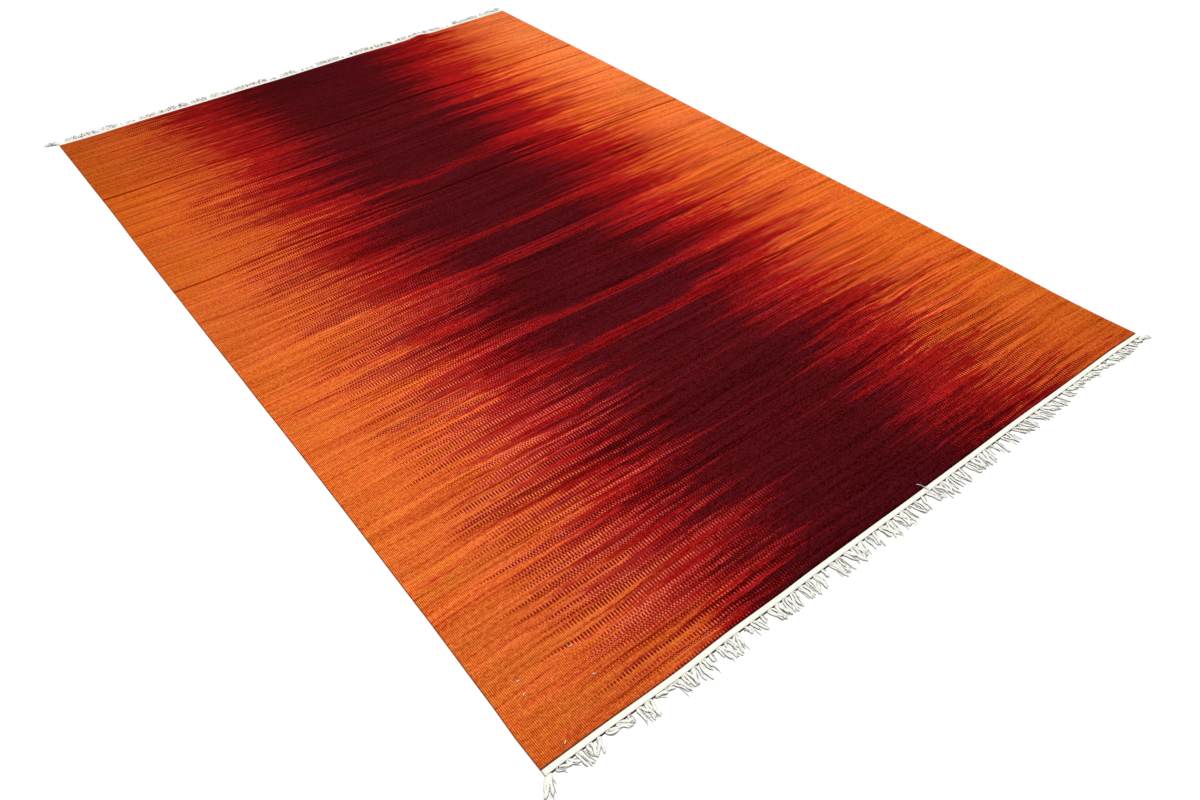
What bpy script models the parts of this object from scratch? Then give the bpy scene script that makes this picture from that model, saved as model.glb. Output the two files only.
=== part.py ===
"""A flat-woven wool rug with a cream end band and a knotted fringe at both short ends.

The rug lies flat on the floor, as it does in use.  Metres, +Z up.  X runs across the width and Y along
the length, with the near end at -Y.  The origin is on the floor under the middle of the rug.

Three pieces: the coloured field with its selvedges, and at each end a narrow band whose outer edge
carries the tassels.  The band stands a hair's breadth away from the field, so the pieces stay apart.
"""

import math
import random
from typing import NamedTuple

import bmesh
import bpy

MM = 0.001

# Driving dimensions of the cloth.
FIELD_WIDTH = 1.960
FIELD_LENGTH = 3.070
FIELD_THICKNESS = 4.0 * MM
BAND_WIDTH = 14.5 * MM
BAND_THICKNESS = 3.0 * MM
SEAM_GAP = 0.3 * MM

# Driving dimensions of the fringe.
TASSELS_PER_END = 75
NECK_WIDTH = 10.0 * MM
NECK_LENGTH = 3.0 * MM
KNOT_WIDTH = 11.0 * MM
KNOT_LENGTH = 6.5 * MM
KNOT_HEIGHT = 5.0 * MM
KNOT_END_HEIGHT = 4.0 * MM
LOCK_ROOT_PART = 0.8 * MM
LOCK_BEND = 1.4
CORNER_INSET = 6.5 * MM
SHORTEST_TASSEL = 0.82
CORNER_TASSELS = 3

# The slow waves in which the tassels lean to one side, and the small difference from one to the next.
LEAN_WAVES = ((5.0 * MM, 0.57), (2.2 * MM, 0.23))
LEAN_START = 0.21
LEAN_OF_END = 0.37
LEAN_SCATTER = 0.7 * MM
FRINGE_SEED = 41

# The low buckle that lifts the far end off the floor, and how far it runs into the cloth.
BUCKLE_ACROSS = 0.775
BUCKLE_LIFT = 7.0 * MM
BUCKLE_HALF_WIDTH = 72.0 * MM
BUCKLE_DEPTH = 0.32

# How finely the cloth's mesh is divided: evenly along the rug, once more near its rounded near corner,
# and across and along the buckle.
ROWS_ALONG = 20
CORNER_ROW = 0.012
BUCKLE_COLUMNS = 8
BUCKLE_ROWS = 6


class EdgeHeight(NamedTuple):
    """One point of the selvedge's cross-section."""

    inward: float
    top: float
    underside: float


class SideShift(NamedTuple):
    """How many millimetres the long edges stand out from straight at one place along the rug."""

    along: float
    left: float
    right: float


class EndShift(NamedTuple):
    """How many millimetres the field's short ends stand out from straight at one place across the rug."""

    across: float
    near: float
    far: float


class FringeReach(NamedTuple):
    """How many millimetres the longest tassels reach past the band at one place across the rug."""

    across: float
    near: float
    far: float


class LockSection(NamedTuple):
    """One three-sided section of a lock, at a share of the way from its knot to its tip."""

    share: float
    aside: float
    width: float
    height: float


SELVEDGE = (
    EdgeHeight(0.0 * MM, 2.7 * MM, 1.3 * MM),
    EdgeHeight(0.9 * MM, 4.1 * MM, 0.0),
    EdgeHeight(3.0 * MM, 4.6 * MM, 0.0),
    EdgeHeight(5.2 * MM, 4.2 * MM, 0.0),
    EdgeHeight(6.2 * MM, 3.6 * MM, 0.0),
    EdgeHeight(8.0 * MM, FIELD_THICKNESS, 0.0),
)

SIDE_SHIFTS = (
    SideShift(0.00, 5.0, 6.0),
    SideShift(0.03, 6.0, 2.0),
    SideShift(0.06, 3.0, 0.0),
    SideShift(0.14, 0.0, 4.0),
    SideShift(0.25, -1.0, 8.0),
    SideShift(0.33, -1.0, 4.0),
    SideShift(0.44, 1.0, 3.0),
    SideShift(0.54, 3.0, 5.0),
    SideShift(0.70, 5.0, 9.0),
    SideShift(0.80, 4.0, 9.0),
    SideShift(0.90, 6.0, 5.0),
    SideShift(1.00, 8.0, 4.0),
)

END_SHIFTS = (
    EndShift(0.00, 1.0, 8.0),
    EndShift(0.06, 1.0, 4.0),
    EndShift(0.16, 3.5, 8.0),
    EndShift(0.24, 0.0, 7.0),
    EndShift(0.31, 1.0, 5.0),
    EndShift(0.36, 0.0, 6.0),
    EndShift(0.45, 1.0, 4.0),
    EndShift(0.52, 2.0, 7.0),
    EndShift(0.63, 2.0, 10.0),
    EndShift(0.71, 1.0, 5.0),
    EndShift(0.84, 3.0, 4.0),
    EndShift(0.93, 3.0, 6.0),
    EndShift(1.00, 7.0, 7.0),
)

FRINGE_REACHES = (
    FringeReach(0.00, 35.0, 42.0),
    FringeReach(0.10, 43.0, 42.0),
    FringeReach(0.50, 47.0, 43.0),
    FringeReach(0.77, 44.0, 42.0),
    FringeReach(0.84, 36.0, 41.0),
    FringeReach(0.94, 37.0, 41.0),
    FringeReach(1.00, 31.0, 42.0),
)

LOCK = (
    LockSection(0.30, 4.3 * MM, 5.8 * MM, 3.0 * MM),
    LockSection(0.68, 5.6 * MM, 6.2 * MM, 2.5 * MM),
    LockSection(1.00, 6.0 * MM, 3.4 * MM, 1.2 * MM),
)

# How far the tassels at the four corners lean outwards, as a share of the fringe's length.
CORNER_LEANS = {"near_left": 0.46, "near_right": 0.34, "far_left": 0.52, "far_right": 0.22}


class Finish(NamedTuple):
    """The plain surface of one kind of yarn."""

    name: str
    colour: tuple
    roughness: float


WOOL = Finish("dyed_wool", (0.52, 0.075, 0.022, 1.0), 0.88)
COTTON = Finish("undyed_cotton", (0.83, 0.79, 0.70, 1.0), 0.92)


def blend(table, place, column):
    """The named column of a table at a place between its rows, with a soft change from row to row."""
    for low, high in zip(table, table[1:]):
        if place <= high[0]:
            share = (place - low[0]) / (high[0] - low[0])
            soft = share * share * (3.0 - 2.0 * share)
            return getattr(low, column) * (1.0 - soft) + getattr(high, column) * soft
    return getattr(table[-1], column)


def swell(distance, reach):
    """A smooth hump: 1 at no distance, 0 from the reach outwards."""
    if abs(distance) >= reach:
        return 0.0
    return 0.5 + 0.5 * math.cos(math.pi * distance / reach)


def lift(x, y):
    """How far the buckle raises the cloth's underside off the floor."""
    across = swell(x - (BUCKLE_ACROSS - 0.5) * FIELD_WIDTH, BUCKLE_HALF_WIDTH)
    from_end = max(0.0, FIELD_LENGTH / 2.0 - y)
    return BUCKLE_LIFT * across * swell(from_end, BUCKLE_DEPTH)


def cloth_point(across, along):
    """The place on the floor of a point of the field, from its shares across and along the rug."""
    left = -FIELD_WIDTH / 2.0 - blend(SIDE_SHIFTS, along, "left") * MM
    right = FIELD_WIDTH / 2.0 + blend(SIDE_SHIFTS, along, "right") * MM
    near = -FIELD_LENGTH / 2.0 - blend(END_SHIFTS, across, "near") * MM
    far = FIELD_LENGTH / 2.0 + blend(END_SHIFTS, across, "far") * MM
    return left + (right - left) * across, near + (far - near) * along


def column_places():
    """Shares across the field at which its mesh has a column of points."""
    edge = [row.inward / FIELD_WIDTH for row in SELVEDGE]
    inner = [row.across for row in END_SHIFTS if edge[-1] < row.across < 1.0 - edge[-1]]
    half = BUCKLE_HALF_WIDTH / FIELD_WIDTH
    inner += [BUCKLE_ACROSS + half * (2.0 * k / BUCKLE_COLUMNS - 1.0) for k in range(BUCKLE_COLUMNS + 1)]
    return edge + sorted(inner) + [1.0 - share for share in reversed(edge)]


def row_places():
    """Shares along the field at which its mesh has a row of points."""
    even = [k / ROWS_ALONG for k in range(ROWS_ALONG + 1)]
    depth = BUCKLE_DEPTH / FIELD_LENGTH
    buckle = [1.0 - depth * k / BUCKLE_ROWS for k in range(1, BUCKLE_ROWS + 1)]
    return sorted(even + [CORNER_ROW] + buckle)


def selvedge_heights(across):
    """The cloth's top and underside above the floor at a share across it."""
    inward = min(across, 1.0 - across) * FIELD_WIDTH
    return blend(SELVEDGE, inward, "top"), blend(SELVEDGE, inward, "underside")


def new_object(name, bm, finish):
    """Turns the finished mesh into a named object with its own surface."""
    bmesh.ops.recalc_face_normals(bm, faces=bm.faces)
    mesh = bpy.data.meshes.new(name)
    bm.to_mesh(mesh)
    bm.free()
    material = bpy.data.materials.new(finish.name + "_" + name)
    material.use_nodes = True
    shader = material.node_tree.nodes["Principled BSDF"]
    shader.inputs["Base Color"].default_value = finish.colour
    shader.inputs["Roughness"].default_value = finish.roughness
    shader.inputs["Metallic"].default_value = 0.0
    mesh.materials.append(material)
    piece = bpy.data.objects.new(name, mesh)
    bpy.context.scene.collection.objects.link(piece)
    return piece


def close_grid(bm, top, under):
    """Joins two equal grids of points into one closed sheet."""
    rows = len(top)
    columns = len(top[0])
    for grid in (top, under):
        for i in range(rows - 1):
            for j in range(columns - 1):
                bm.faces.new((grid[i][j], grid[i][j + 1], grid[i + 1][j + 1], grid[i + 1][j]))
    rim = [(0, j) for j in range(columns)] + [(i, columns - 1) for i in range(1, rows)]
    rim += [(rows - 1, j) for j in range(columns - 2, -1, -1)] + [(i, 0) for i in range(rows - 2, 0, -1)]
    for (i, j), (k, m) in zip(rim, rim[1:] + rim[:1]):
        bm.faces.new((top[i][j], top[k][m], under[k][m], under[i][j]))


def make_field():
    """The coloured cloth: one thin sheet with ribbed edges, flat but for the buckle at its far end."""
    bm = bmesh.new()
    top = []
    under = []
    for along in row_places():
        top.append([])
        under.append([])
        for across in column_places():
            x, y = cloth_point(across, along)
            height, foot = selvedge_heights(across)
            raised = lift(x, y)
            top[-1].append(bm.verts.new((x, y, raised + height)))
            under[-1].append(bm.verts.new((x, y, raised + foot)))
    close_grid(bm, top, under)
    return new_object("kilim_field", bm, WOOL)


class EndOfCloth:
    """One short end of the field: where its edge runs, and which way is outwards."""

    def __init__(self, name):
        self.name = name
        self.out = -1.0 if name == "near" else 1.0
        self.along = 0.0 if name == "near" else 1.0
        self.edge = [cloth_point(across, self.along) for across in column_places()]

    def edge_y(self, x):
        """The field's edge line at x, which is straight from one column of its mesh to the next."""
        for (x0, y0), (x1, y1) in zip(self.edge, self.edge[1:]):
            if x <= x1:
                return y0 + (y1 - y0) * (x - x0) / (x1 - x0)
        return self.edge[-1][1]

    def outside(self, x, distance):
        """The place at a distance outside the field's edge."""
        return self.edge_y(x) + self.out * (SEAM_GAP + distance)

    def raised(self, x):
        """The buckle's lift at this end."""
        return lift(x, self.edge_y(x))

    def tassel_places(self):
        """The x of each tassel's knot, evenly spaced from corner to corner."""
        first = self.edge[0][0] + CORNER_INSET
        last = self.edge[-1][0] - CORNER_INSET
        step = (last - first) / (TASSELS_PER_END - 1)
        return [first + step * k for k in range(TASSELS_PER_END)]

    def reach(self, x):
        """How far the longest tassels at x reach past the band."""
        across = min(1.0, max(0.0, x / FIELD_WIDTH + 0.5))
        return blend(FRINGE_REACHES, across, self.name) * MM

    def lean(self, index, x, chance):
        """How far a tassel's tips lie to the side of its knot."""
        aside = sum(
            reach * math.sin(2.0 * math.pi * (x / length + LEAN_START + LEAN_OF_END * self.out))
            for reach, length in LEAN_WAVES
        )
        from_left = index
        from_right = TASSELS_PER_END - 1 - index
        middle = min(1.0, min(from_left, from_right) / CORNER_TASSELS)
        outward = self.reach(x) * (
            CORNER_LEANS[self.name + "_right"] * max(0.0, 1.0 - from_right / CORNER_TASSELS)
            - CORNER_LEANS[self.name + "_left"] * max(0.0, 1.0 - from_left / CORNER_TASSELS)
        )
        return aside * middle + outward + chance.uniform(-LEAN_SCATTER, LEAN_SCATTER)


def box_ring(bm, x, y, foot, width, height):
    """Four corners of a section that faces outwards: the two feet, then the two tops."""
    half = width / 2.0
    return [
        bm.verts.new((x - half, y, foot)),
        bm.verts.new((x + half, y, foot)),
        bm.verts.new((x + half, y, foot + height)),
        bm.verts.new((x - half, y, foot + height)),
    ]


def skin(bm, ring, following):
    """Joins two rings that have the same number of points."""
    for k in range(len(ring)):
        after = (k + 1) % len(ring)
        bm.faces.new((ring[k], ring[after], following[after], following[k]))


def grow_lock(bm, root, end, knot_x, foot, side, length, lean):
    """Grows one three-sided lock from a four-cornered face of its knot to a tip that lies on the floor."""
    start = NECK_LENGTH + KNOT_LENGTH
    ring = root
    for section in LOCK:
        x = knot_x + side * section.aside + lean * section.share**LOCK_BEND
        out = BAND_WIDTH + start + (length - start) * section.share
        y = end.outside(knot_x, out)
        level = foot * (1.0 - section.share) ** 2
        half = section.width / 2.0
        following = [
            bm.verts.new((x - half, y, level)),
            bm.verts.new((x + half, y, level)),
            bm.verts.new((x, y, level + section.height)),
        ]
        if len(ring) == 4:
            bm.faces.new((ring[0], ring[1], following[1], following[0]))
            bm.faces.new((ring[1], ring[2], following[2], following[1]))
            bm.faces.new((ring[3], ring[0], following[0], following[2]))
            bm.faces.new((ring[2], ring[3], following[2]))
        else:
            skin(bm, ring, following)
        ring = following
    bm.faces.new(ring)


def grow_tassel(bm, neck, end, x, length, lean):
    """Grows a neck, a knot and the two locks below it from an open place in the band's outer edge."""
    foot = end.raised(x)
    front = box_ring(bm, x, end.outside(x, BAND_WIDTH + NECK_LENGTH), foot, KNOT_WIDTH, KNOT_HEIGHT)
    skin(bm, neck, front)
    back_y = end.outside(x, BAND_WIDTH + NECK_LENGTH + KNOT_LENGTH)
    back = box_ring(bm, x, back_y, foot, KNOT_WIDTH, KNOT_END_HEIGHT)
    low = bm.verts.new((x, back_y, foot))
    high = bm.verts.new((x, back_y + end.out * LOCK_ROOT_PART, foot + KNOT_END_HEIGHT))
    bm.faces.new((front[0], front[1], back[1], low, back[0]))
    bm.faces.new((front[1], front[2], back[2], back[1]))
    bm.faces.new((front[2], front[3], back[3], high, back[2]))
    bm.faces.new((front[3], front[0], back[0], back[3]))
    grow_lock(bm, [back[0], low, high, back[3]], end, x, foot, -1.0, length, lean)
    grow_lock(bm, [low, back[1], back[2], high], end, x, foot, 1.0, length, lean)


def make_fringe(name):
    """One end's band with its tassels, all in one piece."""
    end = EndOfCloth(name)
    chance = random.Random(FRINGE_SEED + len(name))
    bm = bmesh.new()
    knots = end.tassel_places()
    cuts = [end.edge[0][0]]
    for x in knots:
        cuts += [x - NECK_WIDTH / 2.0, x + NECK_WIDTH / 2.0]
    cuts.append(end.edge[-1][0])
    lines = []
    for x in cuts:
        foot = end.raised(x)
        inner = end.outside(x, 0.0)
        outer = end.outside(x, BAND_WIDTH)
        lines.append(
            [
                bm.verts.new((x, inner, foot)),
                bm.verts.new((x, outer, foot)),
                bm.verts.new((x, outer, foot + BAND_THICKNESS)),
                bm.verts.new((x, inner, foot + BAND_THICKNESS)),
            ]
        )
    for k, (here, after) in enumerate(zip(lines, lines[1:])):
        bm.faces.new((here[0], after[0], after[1], here[1]))
        bm.faces.new((here[2], after[2], after[3], here[3]))
        bm.faces.new((here[3], after[3], after[0], here[0]))
        if k % 2 == 0:
            bm.faces.new((here[1], after[1], after[2], here[2]))
    bm.faces.new(lines[0])
    bm.faces.new(lines[-1])
    for index, x in enumerate(knots):
        left, right = lines[2 * index + 1], lines[2 * index + 2]
        length = end.reach(x) * chance.uniform(SHORTEST_TASSEL, 1.0)
        lean = end.lean(index, x, chance)
        grow_tassel(bm, [left[1], right[1], right[2], left[2]], end, x, length, lean)
    return new_object(name + "_end_fringe", bm, COTTON)


def clear_scene():
    """Removes whatever the file starts with."""
    for item in list(bpy.data.objects):
        bpy.data.objects.remove(item, do_unlink=True)


def main():
    """Builds the rug's three pieces."""
    clear_scene()
    make_field()
    make_fringe("near")
    make_fringe("far")


main()
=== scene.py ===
"""The looks of a flat-woven wool rug: ribbed cloth with a space-dyed weft, cream end bands and fringes.

Metres, +Z up.  X runs across the width and Y along the length, with the near end at -Y.  The origin is on
the floor under the middle of the rug.
"""

import logging
import math
import random
from collections.abc import Sequence
from dataclasses import dataclass, field
from enum import Enum
from typing import NamedTuple

import bpy
from mathutils import Euler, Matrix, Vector


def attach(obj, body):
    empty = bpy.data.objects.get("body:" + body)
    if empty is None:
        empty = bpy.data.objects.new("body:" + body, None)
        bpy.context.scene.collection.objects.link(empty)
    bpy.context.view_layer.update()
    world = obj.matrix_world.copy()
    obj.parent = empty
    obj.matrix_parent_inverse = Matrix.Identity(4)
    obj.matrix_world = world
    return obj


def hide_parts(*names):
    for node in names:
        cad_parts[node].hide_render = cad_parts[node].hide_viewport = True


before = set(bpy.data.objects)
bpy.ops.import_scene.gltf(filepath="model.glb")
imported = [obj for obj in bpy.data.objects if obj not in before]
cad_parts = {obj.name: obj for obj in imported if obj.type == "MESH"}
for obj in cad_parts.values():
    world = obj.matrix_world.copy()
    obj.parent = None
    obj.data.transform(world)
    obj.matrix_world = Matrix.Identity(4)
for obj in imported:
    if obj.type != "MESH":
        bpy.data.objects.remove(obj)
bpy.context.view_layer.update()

MM = 0.001
BODY = "root"
CLOTH_MAP = "cloth_places"
YARN_MAP = "yarn_places"
# The length of yarn that the yarn map counts as one, and how much an oval yarn's width changes.
YARN_STEP = 0.1
PLY_OVAL = 0.16
# No yarn goes lower than this, and a path counts as upright below this sine.
CLEARANCE = 0.05 * MM
UPRIGHT = 1e-4
# The middle of a tube's end in the yarn map.
TUBE_END = 0.5

log = logging.getLogger("rug")

Colour = tuple[float, float, float]
Point = tuple[float, float, float]
Place = tuple[float, float]
Range = tuple[float, float]
Pair = tuple[float, float]


class Row(NamedTuple):
    """One line of a table: a share of the way, and the two values that hold there."""

    share: float
    first: float
    second: float


class Clump(NamedTuple):
    """Tassels that lie together.

    It holds the share across of the last of them, their heading in degrees to the right, how strongly they
    lean together, the share of the usual reach, and how much of their yarn shows.
    """

    last: float
    heading: float
    gather: float
    reach: float
    full: float


class Span(NamedTuple):
    """A soft change: where it starts and is complete, and the values before and after it."""

    start: float
    end: float
    before: float = 0.0
    after: float = 1.0


class Region(NamedTuple):
    """A part of the cloth by its soft borders across and along, and how much it differs."""

    across: Span
    along: Span
    strength: float


class Cloud(NamedTuple):
    """Smooth noise: its strength, its bumps a metre across and along, and how many finer layers it has."""

    strength: float
    across: float
    along: float
    detail: float = 1.0


class Run(NamedTuple):
    """Changes along the cloth: how many a metre has, and where in their noise they start."""

    per_metre: float
    start: float = 0.0


class Wander(NamedTuple):
    """Smooth noise along the cloth: its run, its strength and the value that it wanders about."""

    run: Run
    strength: float
    middle: float


class Shares(NamedTuple):
    """How much the wide, the slim and the fine dye lots each count for."""

    wide: float
    slim: float
    fine: float

    def of(self, wide: "Signal", slim: "Signal", fine: "Signal") -> "Signal":
        """The three lots' values, weighed and added."""
        return wide * self.wide + slim * self.slim + fine * self.fine


class Edges(NamedTuple):
    """How much long streaks and their tips each count for."""

    streaks: float
    tips: float

    def of(self, streaks: "Signal", tips: "Signal") -> "Signal":
        """The two values, weighed and added."""
        return streaks * self.streaks + tips * self.tips


class Relief(NamedTuple):
    """How much the ribs, the beads of weft on them and the hairs count for, and what is there without them."""

    rib: float
    bead: float
    hairs: float
    base: float

    def of(self, rib: "Signal", bead: "Signal", hairs: "Signal") -> "Signal":
        """The three values, weighed and added to the base."""
        return rib * self.rib + bead * self.bead + self.base + hairs * self.hairs


class End(Enum):
    """The rug's two short ends, by the way that is outwards."""

    NEAR = -1.0
    FAR = 1.0

    @property
    def node(self) -> str:
        """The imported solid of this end's band and fringe."""
        return self.name.lower() + "_end_fringe"


def soft_step(share: float) -> float:
    """A smooth change from 0 to 1."""
    return share * share * (3.0 - 2.0 * share)


def swell(distance: float, reach: float) -> float:
    """A smooth hump.

    Args:
        distance: How far from its middle.
        reach: How far it reaches.

    Returns:
        1 at the middle, 0 from the reach outwards.
    """
    if abs(distance) >= reach:
        return 0.0
    return 0.5 + 0.5 * math.cos(math.pi * distance / reach)


def between(table: Sequence[Row], share: float, column: int) -> float:
    """Reads a table between its lines, with a soft change from line to line.

    Args:
        table: The lines, in order of their shares.
        share: Where to read.
        column: 1 for the first value, 2 for the second.

    Returns:
        The value at that share.
    """
    for low, high in zip(table, table[1:]):
        if share <= high.share:
            soft = soft_step(max(0.0, share - low.share) / (high.share - low.share))
            return low[column] * (1.0 - soft) + high[column] * soft
    return table[-1][column]


@dataclass(frozen=True)
class ClothPlan:
    """The rug's outline and sizes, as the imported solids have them."""

    width: float = 1.960
    length: float = 3.070
    thickness: float = 4.0 * MM
    band_width: float = 13.0 * MM
    band_thickness: float = 3.0 * MM
    seam_gap: float = 0.3 * MM
    warp_pitch: float = 4.0 * MM
    bead_height: float = 2.3 * MM
    buckle_across: float = 0.775
    buckle_lift: float = 7.0 * MM
    buckle_half_width: float = 72.0 * MM
    buckle_depth: float = 0.32
    # How many millimetres the left and right edges stand out from straight, from the near end to the far.
    sides: tuple[Row, ...] = (
        Row(0.00, 5.0, 6.0),
        Row(0.03, 6.0, 2.0),
        Row(0.06, 3.0, 0.0),
        Row(0.14, 0.0, 4.0),
        Row(0.25, -1.0, 8.0),
        Row(0.33, -1.0, 4.0),
        Row(0.44, 1.0, 3.0),
        Row(0.54, 3.0, 5.0),
        Row(0.70, 5.0, 9.0),
        Row(0.80, 4.0, 9.0),
        Row(0.90, 6.0, 5.0),
        Row(1.00, 8.0, 4.0),
    )
    # The same for the near and far ends, from the left edge to the right.
    ends: tuple[Row, ...] = (
        Row(0.00, 1.0, 8.0),
        Row(0.06, 1.0, 4.0),
        Row(0.16, 3.5, 8.0),
        Row(0.24, 0.0, 7.0),
        Row(0.31, 1.0, 5.0),
        Row(0.36, 0.0, 6.0),
        Row(0.45, 1.0, 4.0),
        Row(0.52, 2.0, 7.0),
        Row(0.63, 2.0, 10.0),
        Row(0.71, 1.0, 5.0),
        Row(0.84, 3.0, 4.0),
        Row(0.93, 3.0, 6.0),
        Row(1.00, 7.0, 7.0),
    )
    # The selvedge's top and underside in millimetres, by the distance inwards in millimetres.
    selvedge: tuple[Row, ...] = (
        Row(0.0, 2.7, 1.3),
        Row(0.9, 4.1, 0.0),
        Row(3.0, 4.6, 0.0),
        Row(5.2, 4.2, 0.0),
        Row(6.2, 3.6, 0.0),
        Row(8.0, 4.0, 0.0),
    )

    def side_lines(self, along: float) -> tuple[float, float]:
        """The x of the left and the right edge at a share along the rug."""
        half = self.width / 2.0
        return -half - between(self.sides, along, 1) * MM, half + between(self.sides, along, 2) * MM

    def end_lines(self, across: float) -> tuple[float, float]:
        """The y of the near and the far edge at a share across the rug."""
        half = self.length / 2.0
        return -half - between(self.ends, across, 1) * MM, half + between(self.ends, across, 2) * MM

    def lift(self, x: float, y: float) -> float:
        """How far the buckle at the far end raises the cloth off the floor.

        Args:
            x: Place across the rug.
            y: Place along the rug.

        Returns:
            The height of the cloth's underside.
        """
        across = swell(x - (self.buckle_across - 0.5) * self.width, self.buckle_half_width)
        from_end = max(0.0, self.length / 2.0 - y)
        return self.buckle_lift * across * swell(from_end, self.buckle_depth)


class EndLine:
    """One short end of the cloth: where its edge runs, and which way is outwards."""

    def __init__(self, plan: ClothPlan, end: End) -> None:
        """Notes the end's two corners.

        Args:
            plan: The cloth's sizes.
            end: Which end it is.
        """
        self.plan = plan
        self.end = end
        self.out = end.value
        self.left, self.right = plan.side_lines(0.0 if end is End.NEAR else 1.0)

    def across(self, x: float) -> float:
        """The share across the cloth of a place on this end."""
        return min(1.0, max(0.0, (x - self.left) / (self.right - self.left)))

    def edge(self, x: float) -> float:
        """The y of the wool's edge at x."""
        return self.plan.end_lines(self.across(x))[0 if self.end is End.NEAR else 1]

    def outside(self, x: float, distance: float) -> float:
        """The y at a distance outside the wool's edge."""
        return self.edge(x) + self.out * (self.plan.seam_gap + distance)

    def raised(self, x: float) -> float:
        """The buckle's lift at this end."""
        return self.plan.lift(x, self.edge(x))


@dataclass
class Skein:
    """A mesh as it grows: points, faces, and each face corner's place on the cloth or along its yarn."""

    points: list[Point] = field(default_factory=list)
    faces: list[tuple[int, ...]] = field(default_factory=list)
    places: list[Place] = field(default_factory=list)

    def point(self, x: float, y: float, z: float) -> int:
        """Adds a point and returns its number."""
        self.points.append((x, y, z))
        return len(self.points) - 1

    def face(self, corners: Sequence[int], places: Sequence[Place]) -> None:
        """Adds a face by its points, anticlockwise as seen from outside, and their places in the map."""
        self.faces.append(tuple(corners))
        self.places.extend(places)

    def ring(
        self,
        middle: Vector,
        ahead: Vector,
        radius: float,
        sides: int,
        turned: float,
        low: float,
    ) -> list[int]:
        """Adds a slightly oval ring of points, square to a path.

        Args:
            middle: The ring's middle.
            ahead: The way that the path goes.
            radius: The ring's radius.
            sides: How many points it has.
            turned: How far its oval is turned, in radians.
            low: Its height as a share of its width.

        Returns:
            The numbers of its points.
        """
        ahead.normalize()
        aside = ahead.cross(Vector((0.0, 0.0, 1.0)))
        if aside.length < UPRIGHT:
            aside = Vector((1.0, 0.0, 0.0))
        aside.normalize()
        upward = aside.cross(ahead)
        made = []
        for j in range(sides):
            angle = 2.0 * math.pi * j / sides
            oval = radius * (1.0 + PLY_OVAL * math.cos(2.0 * angle - turned))
            spot = middle + oval * (math.cos(angle) * aside + low * math.sin(angle) * upward)
            made.append(self.point(spot.x, spot.y, max(CLEARANCE, spot.z)))
        return made

    def tube(
        self,
        path: Sequence[Vector],
        radii: Sequence[float],
        sides: int,
        turn: float = 0.0,
        low: float = 1.0,
    ) -> None:
        """Adds a closed tube along a path, slightly oval, as two plies twisted together are.

        Args:
            path: The points along its middle.
            radii: The radius at each point.
            sides: How many sides it has.
            turn: How far the oval turns for each metre, in radians.
            low: Its height as a share of its width.
        """
        rings: list[list[int]] = []
        reached = [0.0]
        for k, middle in enumerate(path):
            ahead = path[min(k + 1, len(path) - 1)] - path[max(k - 1, 0)]
            if k:
                reached.append(reached[-1] + (middle - path[k - 1]).length)
            rings.append(self.ring(middle, ahead, radii[k], sides, turn * reached[-1], low))
        for k in range(len(rings) - 1):
            near, far = reached[k] / YARN_STEP, reached[k + 1] / YARN_STEP
            for j in range(sides):
                after = (j + 1) % sides
                left, right = j / sides, (j + 1) / sides
                corners = (rings[k][j], rings[k][after], rings[k + 1][after], rings[k + 1][j])
                self.face(corners, ((left, near), (right, near), (right, far), (left, far)))
        self.face(rings[0][::-1], [(TUBE_END, 0.0)] * sides)
        self.face(rings[-1], [(TUBE_END, reached[-1] / YARN_STEP)] * sides)

    def sheet(
        self,
        top: Sequence[Sequence[int]],
        under: Sequence[Sequence[int]],
        places: Sequence[Sequence[Place]],
    ) -> None:
        """Closes two equal grids of points into one sheet.

        Args:
            top: The upper points, row by row.
            under: The lower points.
            places: The map place of each point of the grid.
        """
        rows, columns = len(top), len(top[0])
        for i in range(rows - 1):
            for j in range(columns - 1):
                corners = ((i, j), (i, j + 1), (i + 1, j + 1), (i + 1, j))
                spots = [places[row][column] for row, column in corners]
                self.face([top[row][column] for row, column in corners], spots)
                self.face([under[row][column] for row, column in corners[::-1]], spots[::-1])
        rim = [(0, j) for j in range(columns)]
        rim += [(i, columns - 1) for i in range(1, rows)]
        rim += [(rows - 1, j) for j in range(columns - 2, -1, -1)]
        rim += [(i, 0) for i in range(rows - 2, 0, -1)]
        for (i, j), (k, m) in zip(rim, rim[1:] + rim[:1]):
            here, after = places[i][j], places[k][m]
            self.face((under[i][j], under[k][m], top[k][m], top[i][j]), (here, after, after, here))

    def finish(self, name: str, material: bpy.types.Material, places_name: str) -> bpy.types.Object:
        """Turns the mesh into a named object.

        Args:
            name: The piece's name.
            material: Its finish.
            places_name: The name of the map that holds the places.

        Returns:
            The object, which rides on the rug's body.
        """
        mesh = bpy.data.meshes.new(name)
        mesh.from_pydata(self.points, [], self.faces)
        layer = mesh.uv_layers.new(name=places_name)
        layer.uv.foreach_set("vector", [value for place in self.places for value in place])
        mesh.polygons.foreach_set("use_smooth", [True] * len(self.faces))
        mesh.materials.append(material)
        mesh.update()
        piece = bpy.data.objects.new(name, mesh)
        bpy.context.scene.collection.objects.link(piece)
        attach(piece, BODY)
        log.info("%s: %d faces", name, len(self.faces))
        return piece


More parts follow.
